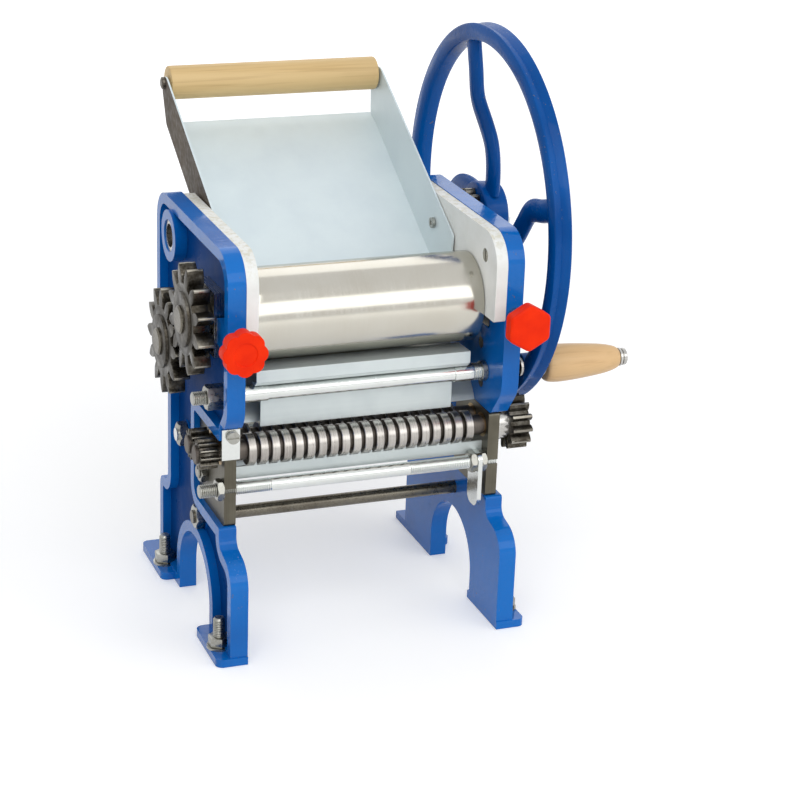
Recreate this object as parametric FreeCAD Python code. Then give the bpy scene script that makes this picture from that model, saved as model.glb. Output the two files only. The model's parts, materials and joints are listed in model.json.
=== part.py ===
import FreeCAD, Part
import math
import os

# Hand-cranked noodle machine: two dough rollers over a slitting cassette.
# Millimetres.  X runs left to right along the rollers, Y front to rear, Z up.
# The origin is the centre of the four foot bolts, on the floor.

V = FreeCAD.Vector

# ---------------------------------------------------------------- side frames
FRAME_INNER_X = 88.0          # inner face of each side frame
WEB_THICKNESS = 6.0
RIM_DEPTH = 12.0              # how far the rim stands out from the inner face
RIM_WIDTH = 7.5               # the rim seen from the side
FRAME_TOP_Z = 275.0
FRAME_FRONT_Y = -75.0
FRAME_REAR_Y = 95.0
WAIST_REAR_Y = 67.0
SHELF_Z = 147.0               # underside of the upper body
LEDGE_Z = 86.0                # the ledge that carries the cassette
LEDGE_FRONT_Y = -59.0
NOTCH_BACK_Y = 1.0
NECK_Z = 67.0                 # where the waist meets the rear foot
FOOT_FRONT_Y = -87.0
FOOT_REAR_Y = 88.0
ARCH_CENTRE_Y = -1.0
ARCH_HALF_WIDTH = 37.0
ARCH_TOP_Z = 56.0
TAB_THICKNESS = 5.5
TAB_OUTER_X = 109.0
TAB_ROUND = 5.0
FRONT_TAB_Y = (-88.0, -35.0)
REAR_TAB_Y = (50.0, 107.0)
FOOT_BOLT_X = 102.0           # half the spacing of the foot bolts, across
FOOT_BOLT_Y = 68.0            # half their spacing, front to rear
FOOT_BOLT_RADIUS = 4.5

# ---------------------------------------------------------------- fits
RUNNING_FIT = 0.06            # radial, shaft in bush
SLIDE_FIT = 0.1               # flat sliding faces
WORKING_GAP = 0.4             # between pieces that move past each other
SEAM = 0.3                    # between pieces set side by side

# ---------------------------------------------------------------- crank
CRANK_Y = 57.0
CRANK_Z = 250.5
CRANK_SHAFT_RADIUS = 8.0
CRANK_BOSS_RADIUS = 17.5
CRANK_BOSS_X = 102.3
WHEEL_RADIUS = 132.0
WHEEL_X = (120.0, 134.0)
WHEEL_RIM_DEPTH = 12.5        # radial depth of the rim
WHEEL_RIM_ROUND = 3.5         # rounding of its inner corners
WHEEL_GROOVE = 2.5            # depth of the groove round the rim
WHEEL_HUB_RADIUS = 23.0
WHEEL_HUB_END_X = 136.0
SPOKE_WIDTH = 16.0            # in the plane of the wheel
SPOKE_THICKNESS = 9.0
SPOKE_COUNT = 4
SPOKE_START = 73.5            # degrees, rim end of the top spoke
SPOKE_HUB_LEAD = 48.0         # degrees the hub end of a spoke leads its rim end
# bends of a spoke: how far inside the rim, and the lead in degrees
SPOKE_BENDS = ((80, 31), (69, 23), (60, 14), (50, 5.5), (38, 0), (22, 0), (9, 0), (-2, 0))
HANDLE_ANGLE = 222.8
HANDLE_INSET = 10.5           # the grip's axis, inside the wheel's edge
HANDLE_BOSS_RADIUS = 9.0
SPINDLE_RADIUS = 5.0
SPINDLE_HEAD = 6.3
GRIP_START_X = 137.0
GRIP_LENGTH = 56.0
GRIP_RADIUS = 12.8

# ---------------------------------------------------------------- rollers
ROLLER_RADIUS = 30.0
GUARD_INNER_X = 80.0
JOURNAL_RADIUS = 9.0
BUSH_WALL = 3.0
DRIVE_MODULE = 2.7
PINION_TEETH = 12
RIM_TEETH = 40                # rear roller, driven by the crank pinion
TAKEOFF_TEETH = 35            # rear roller, drives the cassette
IDLER_TEETH = 10
CUTTER_TEETH = 12
CRANK_TO_ROLLER_ANGLE = 241.5  # direction from the crank to the rear roller
ROLLER_LINE_ANGLE = 148.4      # direction from the rear to the front roller
REST_GAP = 3.0                 # between the rollers at rest
CLOSED_GAP = 0.8               # between the rollers wound fully together
ROLLER_GEAR_TEETH = 12
ROLLER_GEAR_X = (105.2, 116.2)
GEAR_RING_RADIUS = 18.0        # raised ring on the outer face of those gears
GEAR_RING_HEIGHT = 1.8
SHAFT_END_X = 120.0            # left ends of the roller shafts
PRESSURE_ANGLE = 25.0
TAKEOFF_X = (103.0, 109.0)
RIM_GEAR_X = (111.0, 118.0)

# ---------------------------------------------------------------- adjusters
SLOT_Y = (-50.0, -8.0)
SLOT_Z = (204.0, 240.0)
SLOT_ROUND = 2.0
BLOCK_FRONT_Y = -48.5
BLOCK_REAR_Y = -13.0
BLOCK_OUTER_X = 101.0
BLOCK_LIP = 3.5
SCREW_X = 95.5
SCREW_Z = 219.5
SCREW_RADIUS = 4.0
SCREW_ENGAGEMENT = 6.0
KNOB_Y = (-99.5, -90.0)
KNOB_HUB_END_Y = -84.0
KNOB_HUB_RADIUS = 8.5
HEX_KNOB_RADIUS = 16.0         # over the corners
STAR_KNOB_RADIUS = 14.7        # over the lobes
KNOB_LOBE_RADIUS = 6.0

# ---------------------------------------------------------------- guards, tray
GUARD_BOTTOM_Z = 217.0
GUARD_REAR_Y = 84.0
TRAY_SHEET = 1.2
TRAY_SLOPE = 29.1             # degrees
TRAY_LOW_Y = 9.0              # lower end of the tray floor
TRAY_LOW_Z = 219.0
TRAY_FLOOR_X = 75.6           # half the width inside, at the floor
TRAY_TOP_X = 79.4             # half the width outside, at the top edge
TRAY_WALL_HEIGHT = 35.0
TRAY_FLOOR_LENGTH = 158.0
TRAY_LIP = 12.0
TRAY_WALL_LENGTH = 168.5      # lower edge of each wall, along the floor
TRAY_EAR_END = 199.8          # tip of each ear, along the floor
TRAY_ROLLER_ALONG = 180.73    # roller axis, along the floor
TRAY_ROLLER_RISE = 27.59      # roller axis, square to the floor
TRAY_SCREW = (29.0, 255.0)    # y, z
TRAY_SCREW_RADIUS = 2.0
GUARD_SCREWS = ((-55.0, 257.0), (70.0, 258.0))
GUARD_SCREW_RADIUS = 2.5
GUARD_SCREW_HEAD = 4.6
TRAY_ROLLER_RADIUS = 11.75
TRAY_ROLLER_X = 76.3
TRAY_PIN_RADIUS = 2.5

# ---------------------------------------------------------------- cassette
PLATE_X = (88.0, 96.0)
PLATE_FRONT_Y = -57.0
PLATE_TOP_GAP = 0.5
CUTTER_Y = -45.0
CUTTER_Z = 134.0
CUTTER_SPACING = 18.0
RING_RADIUS = 10.5
CORE_RADIUS = 7.0
RING_PITCH = 8.0
FRONT_RING_WIDTH = 5.4
RING_COUNT = 20
CUTTER_SHAFT_RADIUS = 6.0
CUTTER_BUSH_WALL = 2.4
COMB_BOTTOM_Z = 114.6
COMB_SHEET = 1.5
INNER_GUIDE_X = (81.0, 84.0)
TIMING_TEETH = 12
TIMING_GEAR_X = (98.5, 111.0)
CUTTER_GEAR_X = (104.0, 118.0)

# ---------------------------------------------------------------- rods, clip
FRONT_ROD = (-46.3, 173.2)    # y, z
CASSETTE_ROD = (-52.7, 110.9)
CASSETTE_REAR_ROD = (-13.0, 108.0)
LOWER_ROD = (-3.0, 71.0)
REAR_ROD = (38.0, 115.0)
ROD_RADIUS = 4.5
FRONT_ROD_END_X = 115.0        # left ends of the two long rods
CASSETTE_ROD_END_X = 112.0
FRONT_NUT_LENGTH = 12.0
NUT_LENGTH = 6.0
SLEEVE_THIN_X = 65.0           # the sleeve is thinner up to here
GUIDE_SHEET = 1.2              # scrapers and guide plate
SCRAPER_X = 74.0
GUIDE_X = 67.0
STUD_RADIUS = 4.0              # idler studs
NUT_FLATS = 15.0
CLIP_PIVOT_X = 92.0
CLIP_PIVOT_Z = 150.5
CLIP_SHEET = 2.0
CLIP_SCREW_RADIUS = 2.5

WEB_OUTER_X = FRAME_INNER_X + WEB_THICKNESS
RIM_OUTER_X = FRAME_INNER_X + RIM_DEPTH
ROLLER_END_X = GUARD_INNER_X - WORKING_GAP
BEARING_BOSS_X = RIM_OUTER_X + 1.5
HUB_START_X = RIM_GEAR_X[1] + 0.7
HANDLE_RADIUS = WHEEL_RADIUS - HANDLE_INSET
REAR_RING_WIDTH = RING_PITCH - FRONT_RING_WIDTH - 2 * SEAM
SLEEVE_END_RADIUS = ROD_RADIUS + 1.3
CLIP_SEAT_Y = LEDGE_FRONT_Y
CUTTER_REAR_Y = CUTTER_Y + CUTTER_SPACING
CRANK = (CRANK_Y, CRANK_Z)
CUTTER = (CUTTER_Y, CUTTER_Z)
CUTTER_REAR = (CUTTER_REAR_Y, CUTTER_Z)


def polar(centre, radius, degrees):
    """Point at a radius and an angle from +Y toward +Z round a centre."""
    angle = math.radians(degrees)
    return (centre[0] + radius * math.cos(angle), centre[1] + radius * math.sin(angle))


def direction(start, end):
    """Angle in degrees from one (y, z) point to another."""
    return math.degrees(math.atan2(end[1] - start[1], end[0] - start[0]))


def gear_distance(teeth_a, teeth_b):
    return DRIVE_MODULE * (teeth_a + teeth_b) / 2.0


HANDLE_AXIS = polar(CRANK, HANDLE_RADIUS, HANDLE_ANGLE)
REAR_AXIS = polar(CRANK, gear_distance(PINION_TEETH, RIM_TEETH), CRANK_TO_ROLLER_ANGLE)
FRONT_AXIS = polar(REAR_AXIS, 2 * ROLLER_RADIUS + REST_GAP, ROLLER_LINE_ANGLE)


def circle_crossing(centre_a, radius_a, centre_b, radius_b):
    """The crossing of two circles that lies nearer the front."""
    span = math.dist(centre_a, centre_b)
    along = (radius_a ** 2 - radius_b ** 2 + span ** 2) / (2 * span)
    offset = math.sqrt(radius_a ** 2 - along ** 2)
    unit = ((centre_b[0] - centre_a[0]) / span, (centre_b[1] - centre_a[1]) / span)
    middle = (centre_a[0] + along * unit[0], centre_a[1] + along * unit[1])
    one = (middle[0] - offset * unit[1], middle[1] + offset * unit[0])
    two = (middle[0] + offset * unit[1], middle[1] - offset * unit[0])
    return one if one[0] < two[0] else two


IDLER_LOW = polar(CUTTER, gear_distance(IDLER_TEETH, CUTTER_TEETH), 80.0)
IDLER_HIGH = circle_crossing(
    REAR_AXIS, gear_distance(TAKEOFF_TEETH, IDLER_TEETH),
    IDLER_LOW, gear_distance(IDLER_TEETH, IDLER_TEETH))


# ---------------------------------------------------------------- plain shapes
def box(x_range, y_range, z_range):
    size = [abs(pair[1] - pair[0]) for pair in (x_range, y_range, z_range)]
    corner = V(min(x_range), min(y_range), min(z_range))
    return Part.makeBox(size[0], size[1], size[2], corner)


def bar_x(x_range, axis, radius):
    """A cylinder along X through the (y, z) axis."""
    start = min(x_range)
    return Part.makeCylinder(radius, max(x_range) - start, V(start, axis[0], axis[1]), V(1, 0, 0))


def bar_y(y_range, x, z, radius):
    start = min(y_range)
    return Part.makeCylinder(radius, max(y_range) - start, V(x, start, z), V(0, 1, 0))


def tube_x(x_range, axis, outer, inner):
    return bar_x(x_range, axis, outer).cut(bar_x(x_range, axis, inner))


def turned_x(outline, axis):
    """A turned solid about X from (x, radius) points, closed along the axis."""
    first = outline[0]
    last = outline[-1]
    points = [V(first[0], 0, 0)] + [V(x, radius, 0) for x, radius in outline]
    points += [V(last[0], 0, 0), V(first[0], 0, 0)]
    solid = Part.Face(Part.makePolygon(points)).revolve(V(0, 0, 0), V(1, 0, 0), 360)
    solid.translate(V(0, axis[0], axis[1]))
    return solid


def hexagon_x(x_range, axis, across_flats, turn=0.0):
    """A hexagonal prism along X."""
    radius = across_flats / math.sqrt(3)
    start = min(x_range)
    corners = [polar(axis, radius, turn + 60 * step) for step in range(7)]
    face = Part.Face(Part.makePolygon([V(start, y, z) for y, z in corners]))
    return face.extrude(V(max(x_range) - start, 0, 0))


def nut_x(x_range, axis, bore, across_flats=NUT_FLATS):
    """A hexagonal nut with its corners turned off at both faces."""
    middle = sum(x_range) / 2.0
    half = abs(x_range[1] - x_range[0]) / 2.0
    corner = across_flats / math.sqrt(3)
    flat = across_flats / 2.0
    blank = hexagon_x(x_range, axis, across_flats)
    turned = turned_x([(middle - half, flat), (middle - half + 1, corner),
                       (middle + half - 1, corner), (middle + half, flat)], axis)
    return blank.common(turned).cut(bar_x(x_range, axis, bore))


def rounded_face(corners, x=0.0):
    """A face in the plane of x from (y, z, corner radius) points."""
    count = len(corners)
    edges = []
    ends = []
    for index in range(count):
        before = corners[index - 1]
        here = corners[index]
        after = corners[(index + 1) % count]
        ends.append(corner_arc(before, here, after, x))
    for index in range(count):
        start, middle, stop = ends[index]
        if middle is not None:
            edges.append(Part.Arc(start, middle, stop).toShape())
        following = ends[(index + 1) % count][0]
        if stop.distanceToPoint(following) > 1e-6:
            edges.append(Part.makeLine(stop, following))
    return Part.Face(Part.Wire(edges))


def corner_arc(before, here, after, x):
    """Start, middle and end points of the rounding at one corner."""
    point = V(x, here[0], here[1])
    if here[2] == 0:
        return point, None, point
    to_before = V(0, before[0] - here[0], before[1] - here[1]).normalize()
    to_after = V(0, after[0] - here[0], after[1] - here[1]).normalize()
    half = to_before.getAngle(to_after) / 2.0
    reach = here[2] / math.tan(half)
    bisector = (to_before + to_after).normalize()
    centre = point + bisector * (here[2] / math.sin(half))
    middle = centre - bisector * here[2]
    return point + to_before * reach, middle, point + to_after * reach


def plate_x(corners, x_range):
    """A rounded outline in (y, z) made solid across an X range."""
    start = min(x_range)
    return rounded_face(corners, start).extrude(V(max(x_range) - start, 0, 0))


def rectangle(y_range, z_range, rounding):
    """Corners of a rectangle in the side view, all with one rounding."""
    return [(y_range[0], z_range[0], rounding), (y_range[1], z_range[0], rounding),
            (y_range[1], z_range[1], rounding), (y_range[0], z_range[1], rounding)]


def strip_outline(path, thickness):
    """Closed outline of a bent strip that lies to the left of its path."""
    offsets = []
    for index, point in enumerate(path):
        normals = []
        for start, stop in ((index - 1, index), (index, index + 1)):
            if start >= 0 and stop < len(path):
                run = (path[stop][0] - path[start][0], path[stop][1] - path[start][1])
                length = math.hypot(run[0], run[1])
                normals.append((-run[1] / length, run[0] / length))
        total = (sum(n[0] for n in normals), sum(n[1] for n in normals))
        scale = thickness / (total[0] * normals[0][0] + total[1] * normals[0][1])
        offsets.append((point[0] + total[0] * scale, point[1] + total[1] * scale))
    return list(path) + offsets[::-1]


def strip_x(path, thickness, x_range):
    """A bent strip of sheet along X."""
    outline = strip_outline(path, thickness)
    start = min(x_range)
    points = [V(start, y, z) for y, z in outline + outline[:1]]
    return Part.Face(Part.makePolygon(points)).extrude(V(max(x_range) - start, 0, 0))


def joined(shapes):
    """Shapes fused to one, with the seams between flush faces removed."""
    first = shapes[0]
    if len(shapes) > 1:
        first = first.multiFuse(shapes[1:])
    return first.removeSplitter()


def cut_all(shape, tools):
    for tool in tools:
        shape = shape.cut(tool)
    return shape


def on_side(shape, side):
    """The shape itself for the right side, its mirror image for the left."""
    if side > 0:
        return shape
    return shape.mirror(V(0, 0, 0), V(1, 0, 0))


# ---------------------------------------------------------------- gears
def involute(angle):
    return math.tan(angle) - angle


def tooth_half_angle(radius, pitch_radius, half_at_pitch):
    """Half the angle a tooth takes up at a radius."""
    pressure = math.radians(PRESSURE_ANGLE)
    base = pitch_radius * math.cos(pressure)
    here = math.acos(min(1.0, base / radius))
    return half_at_pitch + involute(pressure) - involute(here)


def gear_x(centre, teeth, module, x_range, phase, bore, thinning=0.18, tall=0.85, deep=1.1):
    """A spur gear along X, one tooth centred on the phase angle."""
    pitch = module * teeth / 2.0
    tip = pitch + tall * module
    root = pitch - deep * module
    base = pitch * math.cos(math.radians(PRESSURE_ANGLE))
    half = (math.pi * module / 2.0 - thinning) / (2.0 * pitch)
    low = max(root, base)
    radii = [low + (tip - low) * step / 5.0 for step in range(6)]
    start = min(x_range)

    def spot(radius, angle):
        return V(start, centre[0] + radius * math.cos(angle), centre[1] + radius * math.sin(angle))

    edges = []
    for tooth in range(teeth):
        middle = math.radians(phase) + tooth * 2 * math.pi / teeth
        rising = [spot(r, middle - tooth_half_angle(r, pitch, half)) for r in radii]
        falling = [spot(r, middle + tooth_half_angle(r, pitch, half)) for r in radii[::-1]]
        foot = tooth_half_angle(low, pitch, half)
        if root < low:
            edges.append(Part.makeLine(spot(root, middle - foot), rising[0]))
        edges.append(flank(rising))
        edges.append(Part.Arc(rising[-1], spot(tip, middle), falling[0]).toShape())
        edges.append(flank(falling))
        if root < low:
            edges.append(Part.makeLine(falling[-1], spot(root, middle + foot)))
        gap = middle + math.pi / teeth
        after = middle + 2 * math.pi / teeth - foot
        edges.append(Part.Arc(spot(root, middle + foot), spot(root, gap), spot(root, after)).toShape())
    blank = Part.Face(Part.Wire(edges)).extrude(V(max(x_range) - start, 0, 0))
    return blank.cut(bar_x(x_range, centre, bore))


def flank(points):
    curve = Part.BSplineCurve()
    curve.interpolate(points)
    return curve.toShape()


def meshing_phase(centre_a, teeth_a, phase_a, centre_b, teeth_b):
    """Phase that puts a gap of gear b round the tooth of gear a."""
    toward = direction(centre_a, centre_b)
    fraction = (toward - phase_a) * teeth_a / 360.0
    return toward + 180.0 + (fraction + 0.5) * 360.0 / teeth_b


def closed_front_axis():
    """Front roller axis where the two left gears are cut to mesh."""
    distance = 2 * ROLLER_RADIUS + CLOSED_GAP
    rise = FRONT_AXIS[1] - REAR_AXIS[1]
    return (REAR_AXIS[0] - math.sqrt(distance ** 2 - rise ** 2), FRONT_AXIS[1])


# ---------------------------------------------------------------- side frames
def frame_corners():
    """Outline of a side frame, from the top front corner toward the rear."""
    arch_front = ARCH_CENTRE_Y - ARCH_HALF_WIDTH
    arch_rear = ARCH_CENTRE_Y + ARCH_HALF_WIDTH
    arch_round = ARCH_HALF_WIDTH - 0.1
    return [
        (FRAME_FRONT_Y, FRAME_TOP_Z, 22),
        (FRAME_REAR_Y, FRAME_TOP_Z, 22),
        (FRAME_REAR_Y, SHELF_Z, 12),
        (WAIST_REAR_Y, SHELF_Z, 10),
        (WAIST_REAR_Y, NECK_Z, 9),
        (FOOT_REAR_Y, NECK_Z, 9),
        (FOOT_REAR_Y, 0, 0),
        (arch_rear, 0, 0),
        (arch_rear, ARCH_TOP_Z, arch_round),
        (arch_front, ARCH_TOP_Z, arch_round),
        (arch_front, 0, 0),
        (FOOT_FRONT_Y, 0, 0),
        (FOOT_FRONT_Y, NECK_Z, 18),
        (LEDGE_FRONT_Y, NECK_Z + 6, 8),
        (LEDGE_FRONT_Y, LEDGE_Z, 2),
        (NOTCH_BACK_Y, LEDGE_Z, 9),
        (NOTCH_BACK_Y, SHELF_Z, 3),
        (LEDGE_FRONT_Y, SHELF_Z, 5),
        (FRAME_FRONT_Y, SHELF_Z + 20, 16),
    ]


def foot_tab(y_range):
    """A foot plate with rounded outer corners."""
    tab = box((FRAME_INNER_X, TAB_OUTER_X), y_range, (0, TAB_THICKNESS))
    corners = [edge for edge in tab.Edges
               if abs(edge.CenterOfMass.x - TAB_OUTER_X) < 0.01
               and abs(edge.CenterOfMass.z - TAB_THICKNESS / 2) < 0.01
               and abs(edge.Length - TAB_THICKNESS) < 0.01]
    return tab.makeFillet(TAB_ROUND, corners)


def side_frame(side):
    """One cast side frame: web, standing rim, bosses and foot plates."""
    corners = frame_corners()
    face = rounded_face(corners, FRAME_INNER_X)
    body = face.extrude(V(RIM_DEPTH, 0, 0))
    floor = face.makeOffset2D(-RIM_WIDTH)
    floor.translate(V(WEB_THICKNESS, 0, 0))
    body = body.cut(floor.extrude(V(RIM_DEPTH, 0, 0)))
    pieces = [
        body,
        foot_tab(FRONT_TAB_Y),
        foot_tab(REAR_TAB_Y),
        bar_x((FRAME_INNER_X, CRANK_BOSS_X), CRANK, CRANK_BOSS_RADIUS),
        bar_x((FRAME_INNER_X, BEARING_BOSS_X), REAR_AXIS, JOURNAL_RADIUS + BUSH_WALL + 4),
        box((FRAME_INNER_X, RIM_OUTER_X), (FRAME_FRONT_Y + 2, SLOT_Y[0] - 1),
            (SCREW_Z - 8.5, SCREW_Z + 8.5)),
    ]
    for axis in (LOWER_ROD, REAR_ROD):
        pieces.append(bar_x((FRAME_INNER_X, WEB_OUTER_X + 1), axis, NUT_FLATS / 2 + 2))
    body = joined(pieces)
    cuts = [
        plate_x(rectangle(SLOT_Y, SLOT_Z, SLOT_ROUND), (FRAME_INNER_X - 1, RIM_OUTER_X + 1)),
        bar_y((FRAME_FRONT_Y - 1, SLOT_Y[0]), SCREW_X, SCREW_Z, SCREW_RADIUS + RUNNING_FIT),
        bar_x((FRAME_INNER_X - 1, BEARING_BOSS_X + 1), REAR_AXIS, JOURNAL_RADIUS + BUSH_WALL),
        bar_x((FRAME_INNER_X - 1, CRANK_BOSS_X + 1), CRANK, CRANK_SHAFT_RADIUS + BUSH_WALL),
        bar_x((FRAME_INNER_X - 1, RIM_OUTER_X), FRONT_ROD, ROD_RADIUS),
    ]
    for axis in (LOWER_ROD, REAR_ROD):
        cuts.append(bar_x((FRAME_INNER_X - 1, RIM_OUTER_X), axis, ROD_RADIUS))
    for y in (-FOOT_BOLT_Y, FOOT_BOLT_Y):
        hole = Part.makeCylinder(FOOT_BOLT_RADIUS, TAB_THICKNESS + 2, V(FOOT_BOLT_X, y, -1))
        cuts.append(hole)
    for axis in GUARD_SCREWS:
        cuts.append(bar_x((FRAME_INNER_X - 1, WEB_OUTER_X - 1), axis, GUARD_SCREW_RADIUS))
    cuts += right_frame_cuts() if side > 0 else left_frame_cuts()
    return on_side(cut_all(body, cuts), side)


def right_frame_cuts():
    """Bores only the right frame has, for the two idler studs."""
    return [bar_x((FRAME_INNER_X - 1, RIM_OUTER_X), axis, STUD_RADIUS)
            for axis in (IDLER_HIGH, IDLER_LOW)]


def left_frame_cuts():
    """Cuts only the left frame has: the flat seat of the clip and its screw hole."""
    seat = box((FRAME_INNER_X - 3, RIM_OUTER_X + 5), (FRAME_FRONT_Y - 5, CLIP_SEAT_Y),
               (SHELF_Z - 2, CLIP_PIVOT_Z + 9))
    hole = bar_y((CLIP_SEAT_Y - 1, CLIP_SEAT_Y + 10), CLIP_PIVOT_X, CLIP_PIVOT_Z, CLIP_SCREW_RADIUS)
    return [seat, hole]


def blank_bush():
    """Bush in the left boss, closed at its inner end because the shaft stops at the right."""
    outer = bar_x((FRAME_INNER_X, CRANK_BOSS_X - 1), CRANK, CRANK_SHAFT_RADIUS + BUSH_WALL)
    bore = bar_x((FRAME_INNER_X + 4, CRANK_BOSS_X), CRANK, CRANK_SHAFT_RADIUS)
    return on_side(outer.cut(bore), -1)


def bush_x(x_range, axis, shaft_radius, wall=BUSH_WALL):
    return tube_x(x_range, axis, shaft_radius + wall, shaft_radius + RUNNING_FIT)


def rear_roller_bushes(side):
    return on_side(bush_x((FRAME_INNER_X, BEARING_BOSS_X), REAR_AXIS, JOURNAL_RADIUS), side)


# ---------------------------------------------------------------- guards, tray
def guard(side):
    """Thick plate inside a side frame that closes the end of the roller nip."""
    corners = [
        (FRAME_FRONT_Y - 0.5, GUARD_BOTTOM_Z, 2),
        (FRAME_FRONT_Y - 0.5, FRAME_TOP_Z - 0.5, 22),
        (GUARD_REAR_Y, FRAME_TOP_Z - 0.5, 14),
        (GUARD_REAR_Y, GUARD_BOTTOM_Z, 8),
    ]
    x_range = (GUARD_INNER_X, FRAME_INNER_X)
    body = plate_x(corners, x_range)
    room = JOURNAL_RADIUS + 4.0
    middle_y = FRONT_AXIS[0] + 1.0
    notch = bar_x((GUARD_INNER_X - 1, FRAME_INNER_X + 1), (middle_y, FRONT_AXIS[1]), room)
    throat = box((GUARD_INNER_X - 1, FRAME_INNER_X + 1), (middle_y - room, middle_y + room),
                 (GUARD_BOTTOM_Z - 1, FRONT_AXIS[1]))
    body = cut_all(body, [notch, throat])
    for axis in GUARD_SCREWS:
        body = body.cut(bar_x((GUARD_INNER_X - 1, FRAME_INNER_X + 1), axis, GUARD_SCREW_RADIUS))
        body = body.cut(bar_x((GUARD_INNER_X - 1, GUARD_INNER_X + 2.5), axis, GUARD_SCREW_HEAD))
    body = body.cut(bar_x((GUARD_INNER_X - 1, GUARD_INNER_X + 5), TRAY_SCREW, TRAY_SCREW_RADIUS))
    return on_side(body, side)


def guard_screws():
    """Countersunk-style screws that hold both guards to the side frames."""
    screws = []
    for side in (1, -1):
        for axis in GUARD_SCREWS:
            stem = bar_x((GUARD_INNER_X + 0.3, WEB_OUTER_X - 1), axis, GUARD_SCREW_RADIUS)
            head = bar_x((GUARD_INNER_X + 0.3, GUARD_INNER_X + 2.5), axis, GUARD_SCREW_HEAD)
            slot = box((GUARD_INNER_X, GUARD_INNER_X + 1.1), (axis[0] - 0.6, axis[0] + 0.6),
                       (axis[1] - 5, axis[1] + 5))
            screws.append(on_side(stem.fuse(head).removeSplitter().cut(slot), side))
    return Part.makeCompound(screws)


def along_tray(distance, height=0.0):
    """A (y, z) point a distance up the tray floor and a height square to it."""
    start = (TRAY_LOW_Y, TRAY_LOW_Z)
    on_floor = polar(start, distance, TRAY_SLOPE)
    return polar(on_floor, height, TRAY_SLOPE + 90)


def tray_roller_axis():
    return along_tray(TRAY_ROLLER_ALONG, TRAY_ROLLER_RISE)


def tray_wall():
    """Right wall of the tray: a sheet with a rounded ear, leaning outward."""
    corners = [
        (TRAY_LOW_Y, TRAY_LOW_Z, 0),
        along_tray(TRAY_WALL_LENGTH) + (5,),
        along_tray(TRAY_EAR_END, TRAY_WALL_HEIGHT + 0.6) + (12,),
        (TRAY_LOW_Y - 12, TRAY_LOW_Z + 36, 4),
        (TRAY_LOW_Y - 12, TRAY_LOW_Z + 24, 1.5),
        (TRAY_LOW_Y - 4.5, TRAY_LOW_Z + 13, 4),
    ]
    wall = plate_x(corners, (TRAY_FLOOR_X, TRAY_FLOOR_X + TRAY_SHEET))
    lean = math.degrees(math.asin((TRAY_TOP_X - TRAY_FLOOR_X - TRAY_SHEET) / TRAY_WALL_HEIGHT))
    slope = math.radians(TRAY_SLOPE)
    hinge = V(TRAY_FLOOR_X + TRAY_SHEET / 2, TRAY_LOW_Y, TRAY_LOW_Z)
    wall.rotate(hinge, V(0, math.cos(slope), math.sin(slope)), lean)
    return wall


def hopper_tray():
    """The sloping feed tray: floor with a bent lip and two leaning walls."""
    lip = along_tray(TRAY_FLOOR_LENGTH)
    path = [(TRAY_LOW_Y, TRAY_LOW_Z), lip, polar(lip, TRAY_LIP, TRAY_SLOPE - 8)]
    floor = strip_x(path, TRAY_SHEET, (-TRAY_FLOOR_X - 0.4, TRAY_FLOOR_X + 0.4))
    wall = tray_wall()
    body = joined([floor, wall, on_side(wall, -1)])
    across = (-FRAME_INNER_X, FRAME_INNER_X)
    body = body.cut(bar_x(across, tray_roller_axis(), TRAY_PIN_RADIUS))
    return body.cut(bar_x(across, TRAY_SCREW, TRAY_SCREW_RADIUS))


def tray_screws():
    """The screws that hold the tray walls against the guards."""
    screws = []
    for side in (1, -1):
        inner = wall_x_at(TRAY_SCREW) - TRAY_SHEET
        stem = bar_x((inner - 1.8, GUARD_INNER_X + 5), TRAY_SCREW, TRAY_SCREW_RADIUS)
        head = bar_x((inner - 2.3, inner - 0.3), TRAY_SCREW, 3.6)
        washer = bar_x((inner + TRAY_SHEET + 0.4, GUARD_INNER_X), TRAY_SCREW, 4.2)
        recess = hexagon_x((inner - 3, inner - 1.4), TRAY_SCREW, 3.0)
        screws.append(on_side(joined([stem, head, washer]).cut(recess), side))
    return Part.makeCompound(screws)


def wall_x_at(point):
    """Outer x of the tray's right wall at a (y, z) point."""
    slope = math.radians(TRAY_SLOPE)
    across = (point[0] - TRAY_LOW_Y, point[1] - TRAY_LOW_Z)
    height = across[1] * math.cos(slope) - across[0] * math.sin(slope)
    lean = (TRAY_TOP_X - TRAY_FLOOR_X - TRAY_SHEET) / TRAY_WALL_HEIGHT
    return TRAY_FLOOR_X + TRAY_SHEET + height * lean


def tray_roller():
    axis = tray_roller_axis()
    half = TRAY_ROLLER_X
    radius = TRAY_ROLLER_RADIUS
    body = turned_x([(-half, radius - 0.8), (-half + 0.8, radius),
                     (half - 0.8, radius), (half, radius - 0.8)], axis)
    return body.cut(bar_x((-half, half), axis, TRAY_PIN_RADIUS + RUNNING_FIT))


def tray_roller_pin():
    """The pin through both ears, with a domed head outside each."""
    axis = tray_roller_axis()
    seat = wall_x_at(axis) + 0.35
    end = seat + 2.2
    return turned_x([(-end, 2.6), (-end + 0.7, 4.2), (-seat, 4.4), (-seat, TRAY_PIN_RADIUS),
                     (seat, TRAY_PIN_RADIUS), (seat, 4.4), (end - 0.7, 4.2), (end, 2.6)], axis)


# ---------------------------------------------------------------- dough rollers
def front_roller():
    """Adjustable roller: drum, two journals in the sliding blocks, gear end at the left."""
    half = ROLLER_END_X
    drum = turned_x([(-half, ROLLER_RADIUS - 0.8), (-half + 0.8, ROLLER_RADIUS),
                     (half - 0.8, ROLLER_RADIUS), (half, ROLLER_RADIUS - 0.8)], FRONT_AXIS)
    shaft = bar_x((-SHAFT_END_X, BLOCK_OUTER_X - 0.5), FRONT_AXIS, JOURNAL_RADIUS)
    return joined([drum, shaft])


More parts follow.
